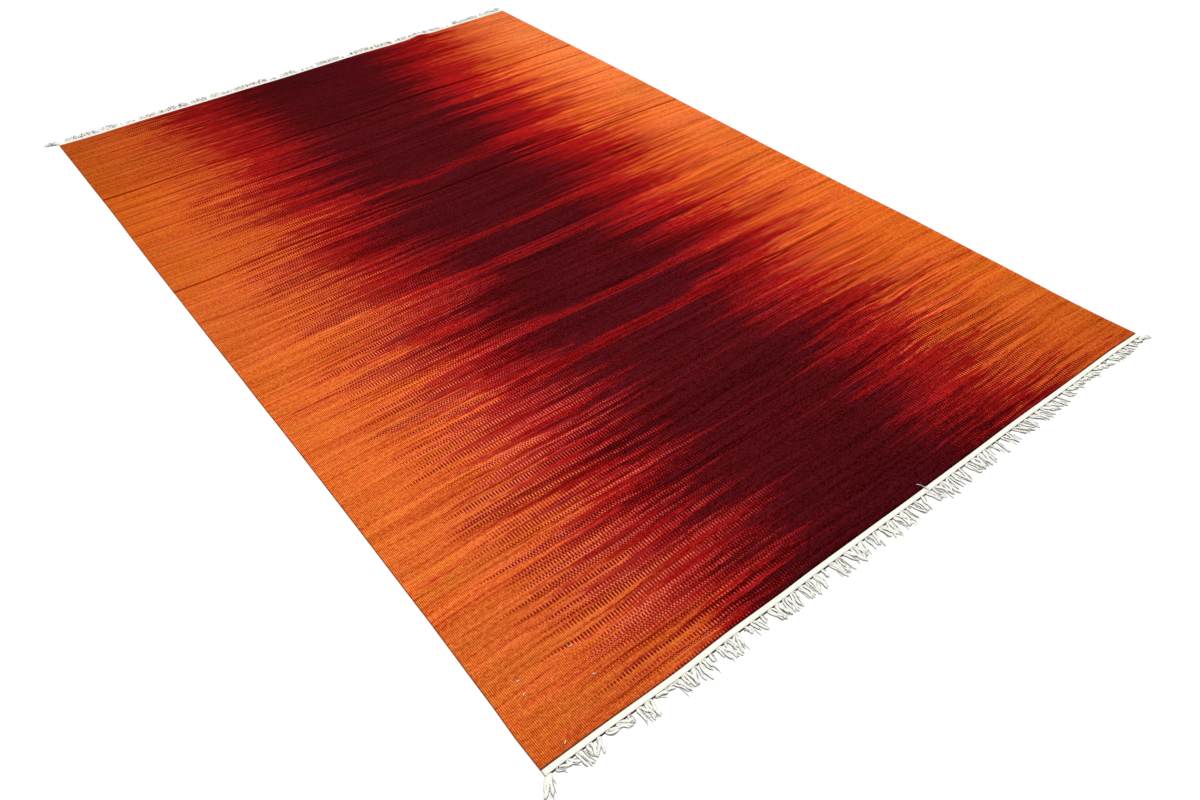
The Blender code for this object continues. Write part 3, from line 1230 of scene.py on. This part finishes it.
@dataclass(frozen=True)
class UndyedCotton:
    """The cream cotton of the end bands and the fringes."""

    surface: Surface = Surface(0.9, 0.1, 0.1, 0.5, (1.0, 0.97, 0.9))
    cream: Colour = (0.920, 0.910, 0.835)
    # Painted shade: the second colour darkens the grooves of the weave and of the plies, with the cotton's
    # mottle; the third darkens the band's outer edge, the lip past it and the yarns' lower sides.
    shaded: Colour = (0.810, 0.765, 0.640)
    painted_shade: Colour = (0.070, 0.050, 0.030)

    # The band: its picks, its light and relief, and how far past its edge the deep shade starts.
    pick_height: float = 2.4 * MM
    mottle: Cloud = Cloud(1.0, 60.0, 200.0, 2.0)
    band_light: Relief = Relief(0.35, 0.55, 0.4, 0.25)
    rib_between_beads: float = 0.3
    mottle_height: float = 0.2
    band_depth: float = 0.5 * MM
    edge_shade: Span = Span(0.05 * MM, 0.2 * MM)

    # The yarn: ridges round it and for each step along it, its fibres, its light and its relief.
    ridges_round: float = 6.0
    ridges_along: float = 9.0
    fibres: Cloud = Cloud(1.0, 9.0, 160.0, 2.0)
    ply_light: float = 0.5
    fibre_light: float = 0.4
    least_light: float = 0.6
    yarn_depth: float = 0.3 * MM
    # The share round the yarn that is its top, how far from it the painted shade on its lower sides starts, and
    # how strong that shade is.
    yarn_top: float = 0.25
    low_side_shade: Span = Span(0.165, 0.26, 0.0, 0.85)

    def woven(self, plan: ClothPlan) -> bpy.types.Material:
        """The band's cotton, plain-woven over the same warps.

        Args:
            plan: The cloth's sizes.

        Returns:
            The material.
        """
        draft = Draft("woven_cotton")
        across, along = draft.places(CLOTH_MAP)
        x = across * plan.width
        y = along * plan.length
        warp = (x / plan.warp_pitch).floor()
        bead = (y / self.pick_height + draft.math("FLOORED_MODULO", warp, 2.0) * 0.5).arch()
        rib = (x / plan.warp_pitch).arch()
        mottle = draft.cloud(x, y, self.mottle)
        light = self.band_light.of(rib, bead, mottle).at_most(1.0)
        colour = draft.tint(light, self.shaded, self.cream)
        # Painted shade: the outer edge's side and the thin lip past it are tinted dark, for the shadow between
        # the tassels.
        edge = draft.stretch(y - plan.band_width, self.edge_shade)
        colour = draft.tint(edge, colour, self.painted_shade)
        ribbed = rib * (bead * (1.0 - self.rib_between_beads) + self.rib_between_beads)
        return draft.complete(colour, ribbed + mottle * self.mottle_height, self.band_depth, self.surface)

    def twisted(self) -> bpy.types.Material:
        """The fringe's cotton: two plies twisted together.

        Returns:
            The material.
        """
        draft = Draft("twisted_cotton")
        around, reached = draft.places(YARN_MAP)
        ply = (around * self.ridges_round + reached * self.ridges_along).arch()
        fibres = draft.cloud(around, reached, self.fibres)
        light = (ply * self.ply_light + self.least_light + fibres * self.fibre_light).at_most(1.0)
        colour = draft.tint(light, self.shaded, self.cream)
        # Painted shade: the lower sides of each yarn are tinted dark, for the shade between the yarns.
        colour = draft.tint(draft.stretch((around - self.yarn_top).size(), self.low_side_shade), colour, self.painted_shade)
        return draft.complete(colour, ply + fibres * self.fibre_light, self.yarn_depth, self.surface)


@dataclass
class WoolField:
    """The coloured cloth, with its ribs of warp and its two selvedges."""

    plan: ClothPlan
    rows_along: int = 38
    buckle_rows: int = 6
    rib_rise: float = 0.2 * MM
    rib_fall: float = 0.6 * MM
    # How far from each end, as a share of the length, the rows that keep the ends crisp lie.
    end_row: float = 0.0006

    def columns(self) -> list[tuple[float, float, float]]:
        """The cloth's columns of points.

        Returns:
            For each, its share across, and the heights of its top and underside.
        """
        edge = [(row.share * MM, row.first * MM, row.second * MM) for row in self.plan.selvedge]
        pitch = self.plan.warp_pitch
        start = edge[-1][0]
        count = round((self.plan.width - 2.0 * start) / pitch)
        inner = []
        for k in range(1, 2 * count):
            crest = k % 2 == 1
            high = self.plan.thickness + (self.rib_rise if crest else -self.rib_fall)
            inner.append((start + k * pitch / 2.0, high, 0.0 if crest else self.rib_fall))
        mirrored = [(self.plan.width - place, top, foot) for place, top, foot in reversed(edge)]
        return [(place / self.plan.width, top, foot) for place, top, foot in edge + inner + mirrored]

    def rows(self) -> list[float]:
        """Places the cloth's rows of points, which are closer together under the buckle.

        Returns:
            Their shares along the cloth.
        """
        even = [k / self.rows_along for k in range(self.rows_along + 1)]
        depth = self.plan.buckle_depth / self.plan.length
        buckle = [1.0 - depth * (k - 0.5) / self.buckle_rows for k in range(1, self.buckle_rows + 1)]
        return sorted(even + buckle + [self.end_row, 1.0 - self.end_row])

    def build(self, finish: DyedWool) -> bpy.types.Object:
        """Builds and dresses the cloth.

        Args:
            finish: Its wool.

        Returns:
            The cloth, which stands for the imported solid.
        """
        columns = self.columns()
        ends = [self.plan.end_lines(across) for across, _, _ in columns]
        skein = Skein()
        top: list[list[int]] = []
        under: list[list[int]] = []
        places: list[list[Place]] = []
        for along in self.rows():
            left, right = self.plan.side_lines(along)
            top.append([])
            under.append([])
            places.append([])
            for (across, high, low), (near, far) in zip(columns, ends):
                x = left + (right - left) * across
                y = near + (far - near) * along
                raised = self.plan.lift(x, y)
                top[-1].append(skein.point(x, y, raised + high))
                under[-1].append(skein.point(x, y, raised + low))
                places[-1].append((across, along))
        skein.sheet(top, under, places)
        cloth = skein.finish("kilim_cloth", finish.dress(), CLOTH_MAP)
        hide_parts("kilim_field")
        return cloth


@dataclass
class EndBand:
    """The narrow cream band between the wool and the fringe, woven over the same warps."""

    plan: ClothPlan
    end: End
    rows: int = 7
    tucked: float = -1.2 * MM
    rib_fall: float = 0.35 * MM
    # The lip is a thin sheet past the band's outer edge that carries painted shadow in the slit before the
    # knots.
    shadow_lip: float = 2.2 * MM
    shadow_lip_height: float = 0.5 * MM
    # The first row's underside and top, and the rounded edge's top, as shares of the thickness.
    first_low: float = 0.3
    first_high: float = 0.7
    edge_high: float = 0.85
    # How far out the edge and its foot are, and the end of the painted-shadow lip as a share of its height.
    edge_out: float = 0.2 * MM
    foot_out: float = 0.4 * MM
    shadow_lip_end: float = 0.6

    def profile(self) -> list[tuple[float, float, float]]:
        """The band from the wool outwards.

        Returns:
            The distance out, and the heights of the underside and the top there.
        """
        thick = self.plan.band_thickness
        wide = self.plan.band_width
        lines = [(self.tucked, self.first_low * thick, self.first_high * thick)]
        for i in range(1, self.rows):
            lines.append((self.tucked + (wide - self.tucked) * i / (self.rows - 1), 0.0, thick))
        lines.append((wide + self.edge_out, 0.0, self.edge_high * thick))
        lines.append((wide + self.foot_out, 0.0, self.shadow_lip_height))
        lines.append((wide + self.shadow_lip, 0.0, self.shadow_lip_end * self.shadow_lip_height))
        return lines

    def build(self, material: bpy.types.Material) -> bpy.types.Object:
        """Builds and dresses the band.

        Args:
            material: Its cotton.

        Returns:
            The band.
        """
        line = EndLine(self.plan, self.end)
        skein = Skein()
        count = round(self.plan.width / self.plan.warp_pitch) * 2
        top: list[list[int]] = []
        under: list[list[int]] = []
        places: list[list[Place]] = []
        profile = self.profile()
        for out, low, high in profile if self.end is End.FAR else reversed(profile):
            top.append([])
            under.append([])
            places.append([])
            for k in range(count + 1):
                across = k / count
                x = line.left + (line.right - line.left) * across
                y = line.outside(x, out)
                raised = line.raised(x)
                valley = self.rib_fall if k % 2 == 0 and high > self.shadow_lip_height else 0.0
                top[-1].append(skein.point(x, y, raised + high - valley))
                under[-1].append(skein.point(x, y, raised + low))
                places[-1].append((across, out / self.plan.length))
        skein.sheet(top, under, places)
        band = skein.finish(f"{self.end.name.lower()}_band", material, CLOTH_MAP)
        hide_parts(self.end.node)
        return band


@dataclass(frozen=True)
class Habit:
    """How the yarns of one tassel lie: its length, its angles in degrees, and how much yarn it has."""

    length: float
    heading: float
    fan: float
    bend: float
    unruly: float
    full: float


@dataclass(frozen=True)
class Strand:
    """A kind of strand: its size, and by how much single ones differ in angle, bend and curl."""

    radius: float
    sides: int
    flatness: float
    neck: float
    twist: float
    heading: float
    bend: float
    perch: float


@dataclass
class KnottedFringe:
    """One end's warp ends, gathered in knotted tassels that lie on the floor.

    Shares of a tassel's width go from -1 at its left to 1 at its right.
    """

    plan: ClothPlan
    end: End
    tassels: int = 85
    locks: int = 3
    threads: int = 4
    # Flat locks, and round single threads. Angles are in degrees, twists in radians for each metre.
    lock: Strand = Strand(2.7 * MM, 8, 0.36, 0.38, 0.0, 6.0, 10.0, 1.1)
    thread: Strand = Strand(0.60 * MM, 5, 1.0, 0.8, 500.0, 12.0, 24.0, 1.7)
    neck_half_width: float = 2.6 * MM
    head_half_width: float = 9.0 * MM
    # The slit between the band and the knots, and how much wider it gets under slanting strands.
    slit: float = 2.2 * MM
    slit_slant: float = 0.6
    corner_inset: float = 5.0 * MM
    steps: int = 10
    seed: int = 41
    # The knot: its size, how far past the slit its middle is, its yarn, its slant in millimetres, and the
    # offset and width of its two turns.
    knot_half_width: float = 3.6 * MM
    knot_height: float = 2.4 * MM
    knot_inset: float = 2.2 * MM
    knot_yarn: float = 0.70 * MM
    knot_twist: float = 700.0
    knot_tilt: float = 0.9
    knot_turns: tuple[Pair, ...] = ((-0.8 * MM, 0.94), (0.9 * MM, 1.0))
    knot_steps: int = 10
    knot_sides: int = 5
    # How unruly a tassel is at least, the heading in degrees that makes it wholly so, and how much the
    # strands of the calmest one still bend.
    calm_unruly: float = 0.3
    unruly_heading: float = 70.0
    calm_bend: float = 0.4
    # The chance that a strand is long, the fullness below which a tassel is thin, and a thin one's length.
    long_chance: float = 0.75
    thin_full: float = 0.25
    thin_length: float = 0.5
    # The least share of its single threads that a tassel has.
    fewest_threads: float = 0.4
    # How high a strand leaves the band, where its path starts inside it, and its first point outside it.
    exit_height: float = 2.0 * MM
    exit_tuck: float = 2.0 * MM
    exit_out: float = 0.6 * MM
    # How a strand swells where it leaves its knot, and how far and high it may curl up (in millimetres).
    bulge: float = 0.5 * MM
    bulge_share: float = 3.0
    perch_reach: float = 0.38
    highest_perch: float = 7.0
    # Where along a strand its bend turns, and how often it waves.
    bend_from: float = 0.2
    waves: float = 7.0
    # A strand's radius where it spreads and at its last two points, as shares of its full one.
    spread_radius: float = 0.8
    tip_radii: Pair = (0.75, 0.3)
    # How much higher the far end's strands curl.
    far_liveliness: float = 3.6
    # What is drawn for each tassel: its place's stray in millimetres, its length as a share of the reach, and
    # the spread of its heading, bend and fan in degrees.
    stray: float = 1.0
    tassel_lengths: Range = (0.86, 1.0)
    tassel_heading: float = 7.0
    tassel_bend: float = 12.0
    tassel_fan: float = 9.0
    # What is drawn for each strand: its place in the tassel, a lock's width, its length, the size of its waves
    # in degrees and their start in radians, where it curls up, and how its radius changes along it.
    lock_places: Range = (0.2, 0.8)
    lock_widths: Range = (0.75, 1.15)
    thread_places: Range = (-1.05, 1.05)
    long_lengths: Range = (0.84, 1.04)
    short_lengths: Range = (0.5, 0.84)
    wave_angles: Range = (4.0, 16.0)
    wave_phases: Range = (0.0, 6.3)
    crests: Range = (0.35, 0.85)
    widths: Range = (0.9, 1.1)
    # The far end's clumps: how many tassels each has, how many are thin and how thin, and how they lean.
    far_counts: tuple[int, ...] = (1, 2, 2, 3, 3, 4)
    far_thin_chance: float = 0.16
    far_thin: float = 0.2
    far_heading: float = 14.0
    far_gathers: Range = (0.1, 0.7)
    # The far end's first tassel, which lies out over the corner.
    far_corner: Clump = Clump(0.0, -52.0, 0.0, 1.2, 1.3)
    # How far the near and far tassels reach past the band in millimetres, by the share across the rug.
    reaches: tuple[Row, ...] = (
        Row(0.00, 39.5, 49.0),
        Row(0.10, 44.5, 49.0),
        Row(0.50, 48.5, 45.5),
        Row(0.77, 45.5, 42.5),
        Row(0.84, 39.5, 41.5),
        Row(0.94, 38.5, 41.5),
        Row(1.00, 32.5, 41.5),
    )
    # How the near tassels lie, from the left.
    near_clumps: tuple[Clump, ...] = (
        Clump(0.006, -34.0, 0.00, 1.30, 1.7),
        Clump(0.031, 62.0, 0.00, 0.75, 0.8),
        Clump(0.044, 8.0, 0.75, 1.00, 1.0),
        Clump(0.060, -18.0, 0.65, 1.00, 0.8),
        Clump(0.093, 60.0, 0.00, 0.80, 1.0),
        Clump(0.101, 0.0, 0.00, 1.00, 0.0),
        Clump(0.129, -8.0, 0.70, 1.00, 1.0),
        Clump(0.144, 75.0, 0.00, 0.75, 0.6),
        Clump(0.180, 0.0, 0.75, 0.95, 1.0),
        Clump(0.186, 0.0, 0.00, 1.00, 0.0),
        Clump(0.201, 0.0, 0.45, 1.05, 1.0),
        Clump(0.209, 0.0, 0.00, 1.00, 0.0),
        Clump(0.250, -5.0, 0.80, 1.00, 1.0),
        Clump(0.258, 0.0, 0.00, 1.00, 0.0),
        Clump(0.270, 5.0, 0.55, 1.00, 0.7),
        Clump(0.278, 0.0, 0.00, 1.00, 0.0),
        Clump(0.322, -3.0, 0.45, 1.00, 1.0),
        Clump(0.327, 0.0, 0.00, 1.00, 0.3),
        Clump(0.369, -3.0, 0.45, 1.00, 1.0),
        Clump(0.377, 0.0, 0.00, 1.00, 0.0),
        Clump(0.395, 0.0, 0.75, 1.00, 1.0),
        Clump(0.402, 0.0, 0.00, 1.00, 0.0),
        Clump(0.431, 0.0, 0.80, 1.00, 1.0),
        Clump(0.436, 0.0, 0.00, 1.00, 0.3),
        Clump(0.456, -15.0, 0.55, 0.95, 0.8),
        Clump(0.480, 5.0, 0.75, 1.00, 1.0),
        Clump(0.503, 2.0, 0.75, 1.00, 0.9),
        Clump(0.539, 0.0, 0.55, 0.95, 0.5),
        Clump(0.585, 6.0, 0.45, 1.00, 1.0),
        Clump(0.590, 0.0, 0.00, 1.00, 0.0),
        Clump(0.605, 0.0, 0.65, 0.95, 1.0),
        Clump(0.616, 0.0, 0.00, 1.00, 0.3),
        Clump(0.665, -4.0, 0.45, 1.00, 1.0),
        Clump(0.681, 0.0, 0.00, 1.00, 0.3),
        Clump(0.714, 3.0, 0.65, 1.00, 0.8),
        Clump(0.745, 25.0, 0.45, 0.95, 0.8),
        Clump(0.794, 33.0, 0.00, 0.95, 1.0),
        Clump(0.812, 20.0, 0.00, 0.90, 0.3),
        Clump(0.825, 20.0, 0.55, 0.80, 1.0),
        Clump(0.912, 60.0, 0.00, 0.85, 0.9),
        Clump(0.922, 30.0, 0.00, 0.90, 0.3),
        Clump(0.948, 45.0, 0.45, 0.90, 1.0),
        Clump(0.968, 20.0, 0.45, 0.85, 0.8),
        Clump(0.992, 50.0, 0.00, 0.80, 1.0),
        Clump(1.000, 66.0, 0.00, 1.00, 1.2),
    )

    @property
    def liveliness(self) -> float:
        """How much higher than at the near end the strands curl."""
        return self.far_liveliness if self.end is End.FAR else 1.0

    def reach(self, x: float) -> float:
        """How far the longest tassels at x reach past the band."""
        across = min(1.0, max(0.0, x / self.plan.width + 0.5))
        return between(self.reaches, across, 1 if self.end is End.NEAR else 2) * MM

    def clumps(self, chance: random.Random) -> list[Clump]:
        """The clumps of this end: as listed at the near end, and by chance at the far end, which shows less.

        Args:
            chance: The source of the far end's clumps.

        Returns:
            The clumps, from the left.
        """
        if self.end is End.NEAR:
            return list(self.near_clumps)
        made = [self.far_corner._replace(last=0.5 / self.tassels)]
        while made[-1].last < 1.0:
            last = min(1.0, made[-1].last + chance.choice(self.far_counts) / self.tassels)
            full = 1.0 if chance.random() > self.far_thin_chance else self.far_thin
            heading = chance.gauss(0.0, self.far_heading)
            made.append(Clump(last, heading, chance.uniform(*self.far_gathers), 1.0, full))
        return made

    def habits(self, places: Sequence[float], chance: random.Random) -> list[Habit]:
        """Decides how each tassel lies.

        Args:
            places: The x of each tassel's knot.
            chance: The source of the differences.

        Returns:
            The tassels' habits, from the left.
        """
        made: list[Habit] = []
        for clump in self.clumps(chance):
            final = clump.last == 1.0
            group = [x for x in places[len(made) :] if final or x / self.plan.width + 0.5 <= clump.last]
            for x in group:
                lean = clump.gather * (sum(group) / len(group) - x) / self.reach(x)
                unruly = self.calm_unruly + abs(clump.heading) / self.unruly_heading
                heading = clump.heading + math.degrees(math.atan(lean))
                heading += chance.gauss(0.0, self.tassel_heading) * unruly
                length = self.reach(x) * clump.reach * chance.uniform(*self.tassel_lengths)
                bend = chance.gauss(0.0, self.tassel_bend) * unruly
                fan = chance.uniform(0.0, self.tassel_fan)
                made.append(Habit(length, heading, fan, bend, unruly, clump.full))
        return made

    def build(self, material: bpy.types.Material) -> bpy.types.Object:
        """Builds and dresses the fringe.

        Args:
            material: Its cotton yarn.

        Returns:
            The fringe.
        """
        line = EndLine(self.plan, self.end)
        name = self.end.name.lower()
        chance = random.Random(self.seed + len(name))
        skein = Skein()
        first = line.left + self.corner_inset
        step = (line.right - self.corner_inset - first) / (self.tassels - 1)
        strays = [chance.uniform(-self.stray, self.stray) * MM for _ in range(self.tassels)]
        places = [first + step * index + stray for index, stray in enumerate(strays)]
        for x, habit in zip(places, self.habits(places, chance)):
            self.knot(skein, line, x, chance)
            locks = max(1, round(self.locks * habit.full))
            for k in range(locks):
                share = 2.0 * (k + chance.uniform(*self.lock_places)) / locks - 1.0
                radius = self.lock.radius * chance.uniform(*self.lock_widths)
                self.strand(skein, line, (x, share), habit, self.lock, radius, chance)
            for _ in range(round(self.threads * max(self.fewest_threads, habit.full))):
                share = chance.uniform(*self.thread_places)
                self.strand(skein, line, (x, share), habit, self.thread, self.thread.radius, chance)
        fringe = skein.finish(f"{name}_fringe", material, YARN_MAP)
        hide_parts(self.end.node)
        return fringe

    def knot(self, skein: Skein, line: EndLine, x: float, chance: random.Random) -> None:
        """Adds the two turns of yarn that tie a tassel.

        Args:
            skein: The growing mesh.
            line: The end of the cloth.
            x: The knot's middle.
            chance: The source of the small differences.
        """
        foot = line.raised(x)
        middle = self.plan.band_width + self.slit + self.knot_inset
        tilt = chance.uniform(-self.knot_tilt, self.knot_tilt) * MM
        high = self.knot_height / 2.0
        count = self.knot_steps + 1
        for offset, wide in self.knot_turns:
            path = []
            for step in range(count):
                angle = 2.0 * math.pi * step / self.knot_steps
                out = middle + offset + tilt * math.cos(angle)
                side = self.knot_half_width * wide * math.cos(angle)
                level = foot + high + (high - self.knot_yarn) * wide * math.sin(angle)
                path.append(Vector((x + side, line.outside(x, out), level)))
            skein.tube(path, [self.knot_yarn] * count, self.knot_sides, self.knot_twist)

    def strand(
        self,
        skein: Skein,
        line: EndLine,
        root: Pair,
        habit: Habit,
        kind: Strand,
        radius: float,
        chance: random.Random,
    ) -> None:
        """Adds one lock or thread, which runs out of the band, through the knot, and over the floor.

        Args:
            skein: The growing mesh.
            line: The end of the cloth.
            root: The x of its knot's middle, and its place in the tassel, from -1 at the left to 1.
            habit: How the tassel lies.
            kind: What kind of strand it is.
            radius: Half its width.
            chance: The source of the differences between strands.
        """
        x, share = root
        foot = line.raised(x)
        lengths = self.long_lengths if chance.random() < self.long_chance else self.short_lengths
        length = habit.length * chance.uniform(*lengths)
        if habit.full < self.thin_full:
            length *= self.thin_length
        heading = math.radians(habit.heading + share * habit.fan + chance.gauss(0.0, kind.heading))
        wave = math.radians(chance.uniform(*self.wave_angles))
        phase = chance.uniform(*self.wave_phases)
        bend = math.radians(habit.bend + chance.gauss(0.0, kind.bend * (self.calm_bend + habit.unruly)))
        perch = min(self.highest_perch, abs(chance.gauss(0.0, kind.perch)) * self.liveliness) * MM
        crest = chance.uniform(*self.crests)
        start = self.plan.band_width
        side = x + share * self.neck_half_width
        path = [
            Vector((side, line.outside(x, start - self.exit_tuck), foot + self.exit_height)),
            Vector((side, line.outside(x, start + self.exit_out), foot + self.exit_height)),
        ]
        # Slanting strands leave the slit behind them open.
        out = start + self.slit * (1.0 + self.slit_slant * abs(math.sin(heading)))
        side = x + share * self.head_half_width
        ahead = (length - self.slit) / self.steps
        for step in range(self.steps + 1):
            along = step / self.steps
            settle = foot * (1.0 - along) ** 2 + self.bulge * max(0.0, 1.0 - along * self.bulge_share)
            level = settle + radius * kind.flatness + perch * swell(along - crest, self.perch_reach)
            path.append(Vector((side, line.outside(x, out), level)))
            turned = heading + bend * (along - self.bend_from) + wave * math.sin(phase + self.waves * along)
            side += ahead * math.sin(turned)
            out += ahead * math.cos(turned)
        shares = [kind.neck] * 2 + [self.spread_radius]
        shares += [chance.uniform(*self.widths) for _ in range(self.steps - 2)]
        radii = [radius * share for share in (*shares, *self.tip_radii)]
        skein.tube(path, radii, kind.sides, kind.twist, kind.flatness)


@dataclass
class LooseEnds:
    """A few stray bits of cream yarn that lie on the cloth near its left and near edges."""

    plan: ClothPlan
    radius: float = 0.95 * MM
    count: int = 7
    sides: int = 5
    twist: float = 900.0
    # How high a bit lies and how much it rises and falls, as shares of its radius; then its two ends' radii.
    perch: float = 1.1
    rise: float = 0.6
    end_radii: Pair = (0.6, 0.5)
    # Share across, metres from the near edge, length in millimetres, heading in degrees, bend in degrees.
    bits: tuple[tuple[float, float, float, float, float], ...] = (
        (0.030, 0.172, 9.0, 20.0, 25.0),
        (0.027, 0.139, 8.0, 35.0, -30.0),
        (0.095, 0.172, 9.0, 10.0, 20.0),
        (0.094, 0.094, 9.0, -5.0, 25.0),
        (0.029, 0.012, 8.0, 40.0, 60.0),
        (0.5452, 0.0150, 30.0, -74.0, -30.0),
    )

    def build(self, material: bpy.types.Material) -> bpy.types.Object:
        """Builds and dresses the bits.

        Args:
            material: Their cotton yarn.

        Returns:
            The bits, as one piece.
        """
        skein = Skein()
        for across, along, length, heading, bend in self.bits:
            x = (across - 0.5) * self.plan.width
            y = -self.plan.length / 2.0 + along
            path = []
            for k in range(self.count):
                angle = math.radians(heading + bend * (k / (self.count - 1) - 0.5))
                level = self.plan.thickness + self.radius * (self.perch + self.rise * math.sin(k))
                path.append(Vector((x, y, level)))
                x += math.cos(angle) * length * MM / (self.count - 1)
                y += math.sin(angle) * length * MM / (self.count - 1)
            first, last = self.end_radii
            shares = [first] + [1.0] * (self.count - 2) + [last]
            skein.tube(path, [self.radius * share for share in shares], self.sides, self.twist)
        piece = skein.finish("loose_ends", material, YARN_MAP)
        return piece


@dataclass
class Studio:
    """The plain pale floor, the soft light and the camera."""

    floor_size: float = 40.0
    floor_colour: Colour = (0.90, 0.90, 0.895)
    floor_drop: float = 0.4 * MM
    floor_roughness: float = 0.9
    sky: float = 0.32
    sun: float = 3.05
    sun_spread: float = 7.0
    sun_from: Point = (0.34, 0.42, 0.95)
    eye: Point = (-1.365874, -2.266284, 1.659938)
    aim: Point = (47.23023, 1.46365, -37.97102)
    lens: float = 28.606
    sensor: float = 36.0
    sight: float = 100.0

    def floor(self) -> bpy.types.Object:
        """Lays the floor just below the rug.

        Returns:
            The floor.
        """
        half = self.floor_size / 2.0
        mesh = bpy.data.meshes.new("floor")
        corners = [(-half, -half), (half, -half), (half, half), (-half, half)]
        mesh.from_pydata([(x, y, -self.floor_drop) for x, y in corners], [], [(0, 1, 2, 3)])
        material = bpy.data.materials.new("pale_floor")
        material.use_nodes = True
        shader = material.node_tree.nodes["Principled BSDF"]
        shader.inputs["Base Color"].default_value = (*self.floor_colour, 1.0)
        shader.inputs["Roughness"].default_value = self.floor_roughness
        shader.inputs["Specular IOR Level"].default_value = 0.0
        mesh.materials.append(material)
        floor = bpy.data.objects.new("floor", mesh)
        bpy.context.scene.collection.objects.link(floor)
        return floor

    def lights(self) -> None:
        """Sets the even sky and one soft sun from behind the rug's far right corner."""
        world = bpy.data.worlds.new("studio")
        world.use_nodes = True
        sky = world.node_tree.nodes["Background"]
        sky.inputs["Color"].default_value = (1.0, 1.0, 1.0, 1.0)
        sky.inputs["Strength"].default_value = self.sky
        bpy.context.scene.world = world
        lamp = bpy.data.lights.new("sun", "SUN")
        lamp.energy = self.sun
        lamp.angle = math.radians(self.sun_spread)
        sun = bpy.data.objects.new("sun", lamp)
        sun.rotation_euler = Vector(self.sun_from).to_track_quat("Z", "Y").to_euler()
        bpy.context.scene.collection.objects.link(sun)

    def camera(self) -> None:
        """Sets the camera where the photograph was taken from."""
        data = bpy.data.cameras.new("camera")
        data.lens = self.lens
        data.sensor_width = self.sensor
        data.clip_end = self.sight
        camera = bpy.data.objects.new("camera", data)
        camera.location = self.eye
        camera.rotation_euler = Euler([math.radians(angle) for angle in self.aim], "XYZ")
        bpy.context.scene.collection.objects.link(camera)
        bpy.context.scene.camera = camera
        view = bpy.context.scene.view_settings
        view.view_transform = "Standard"
        view.look = "None"
        view.exposure = 0.0
        view.gamma = 1.0

    def build(self) -> None:
        """Sets up floor, light and camera."""
        self.floor()
        self.lights()
        self.camera()


def main() -> None:
    """Builds the rug's pieces and the studio."""
    logging.basicConfig(level=logging.INFO, format="%(name)s: %(message)s")
    plan = ClothPlan()
    cotton = UndyedCotton()
    woven = cotton.woven(plan)
    twisted = cotton.twisted()
    Studio().build()
    cloth = WoolField(plan).build(DyedWool(plan))
    trims = [LooseEnds(plan).build(twisted)]
    for end in End:
        trims.append(EndBand(plan, end).build(woven))
        trims.append(KnottedFringe(plan, end).build(twisted))
    log.info("pieces: %s", ", ".join(piece.name for piece in [cloth, *trims]))


if __name__ == "__main__":
    main()
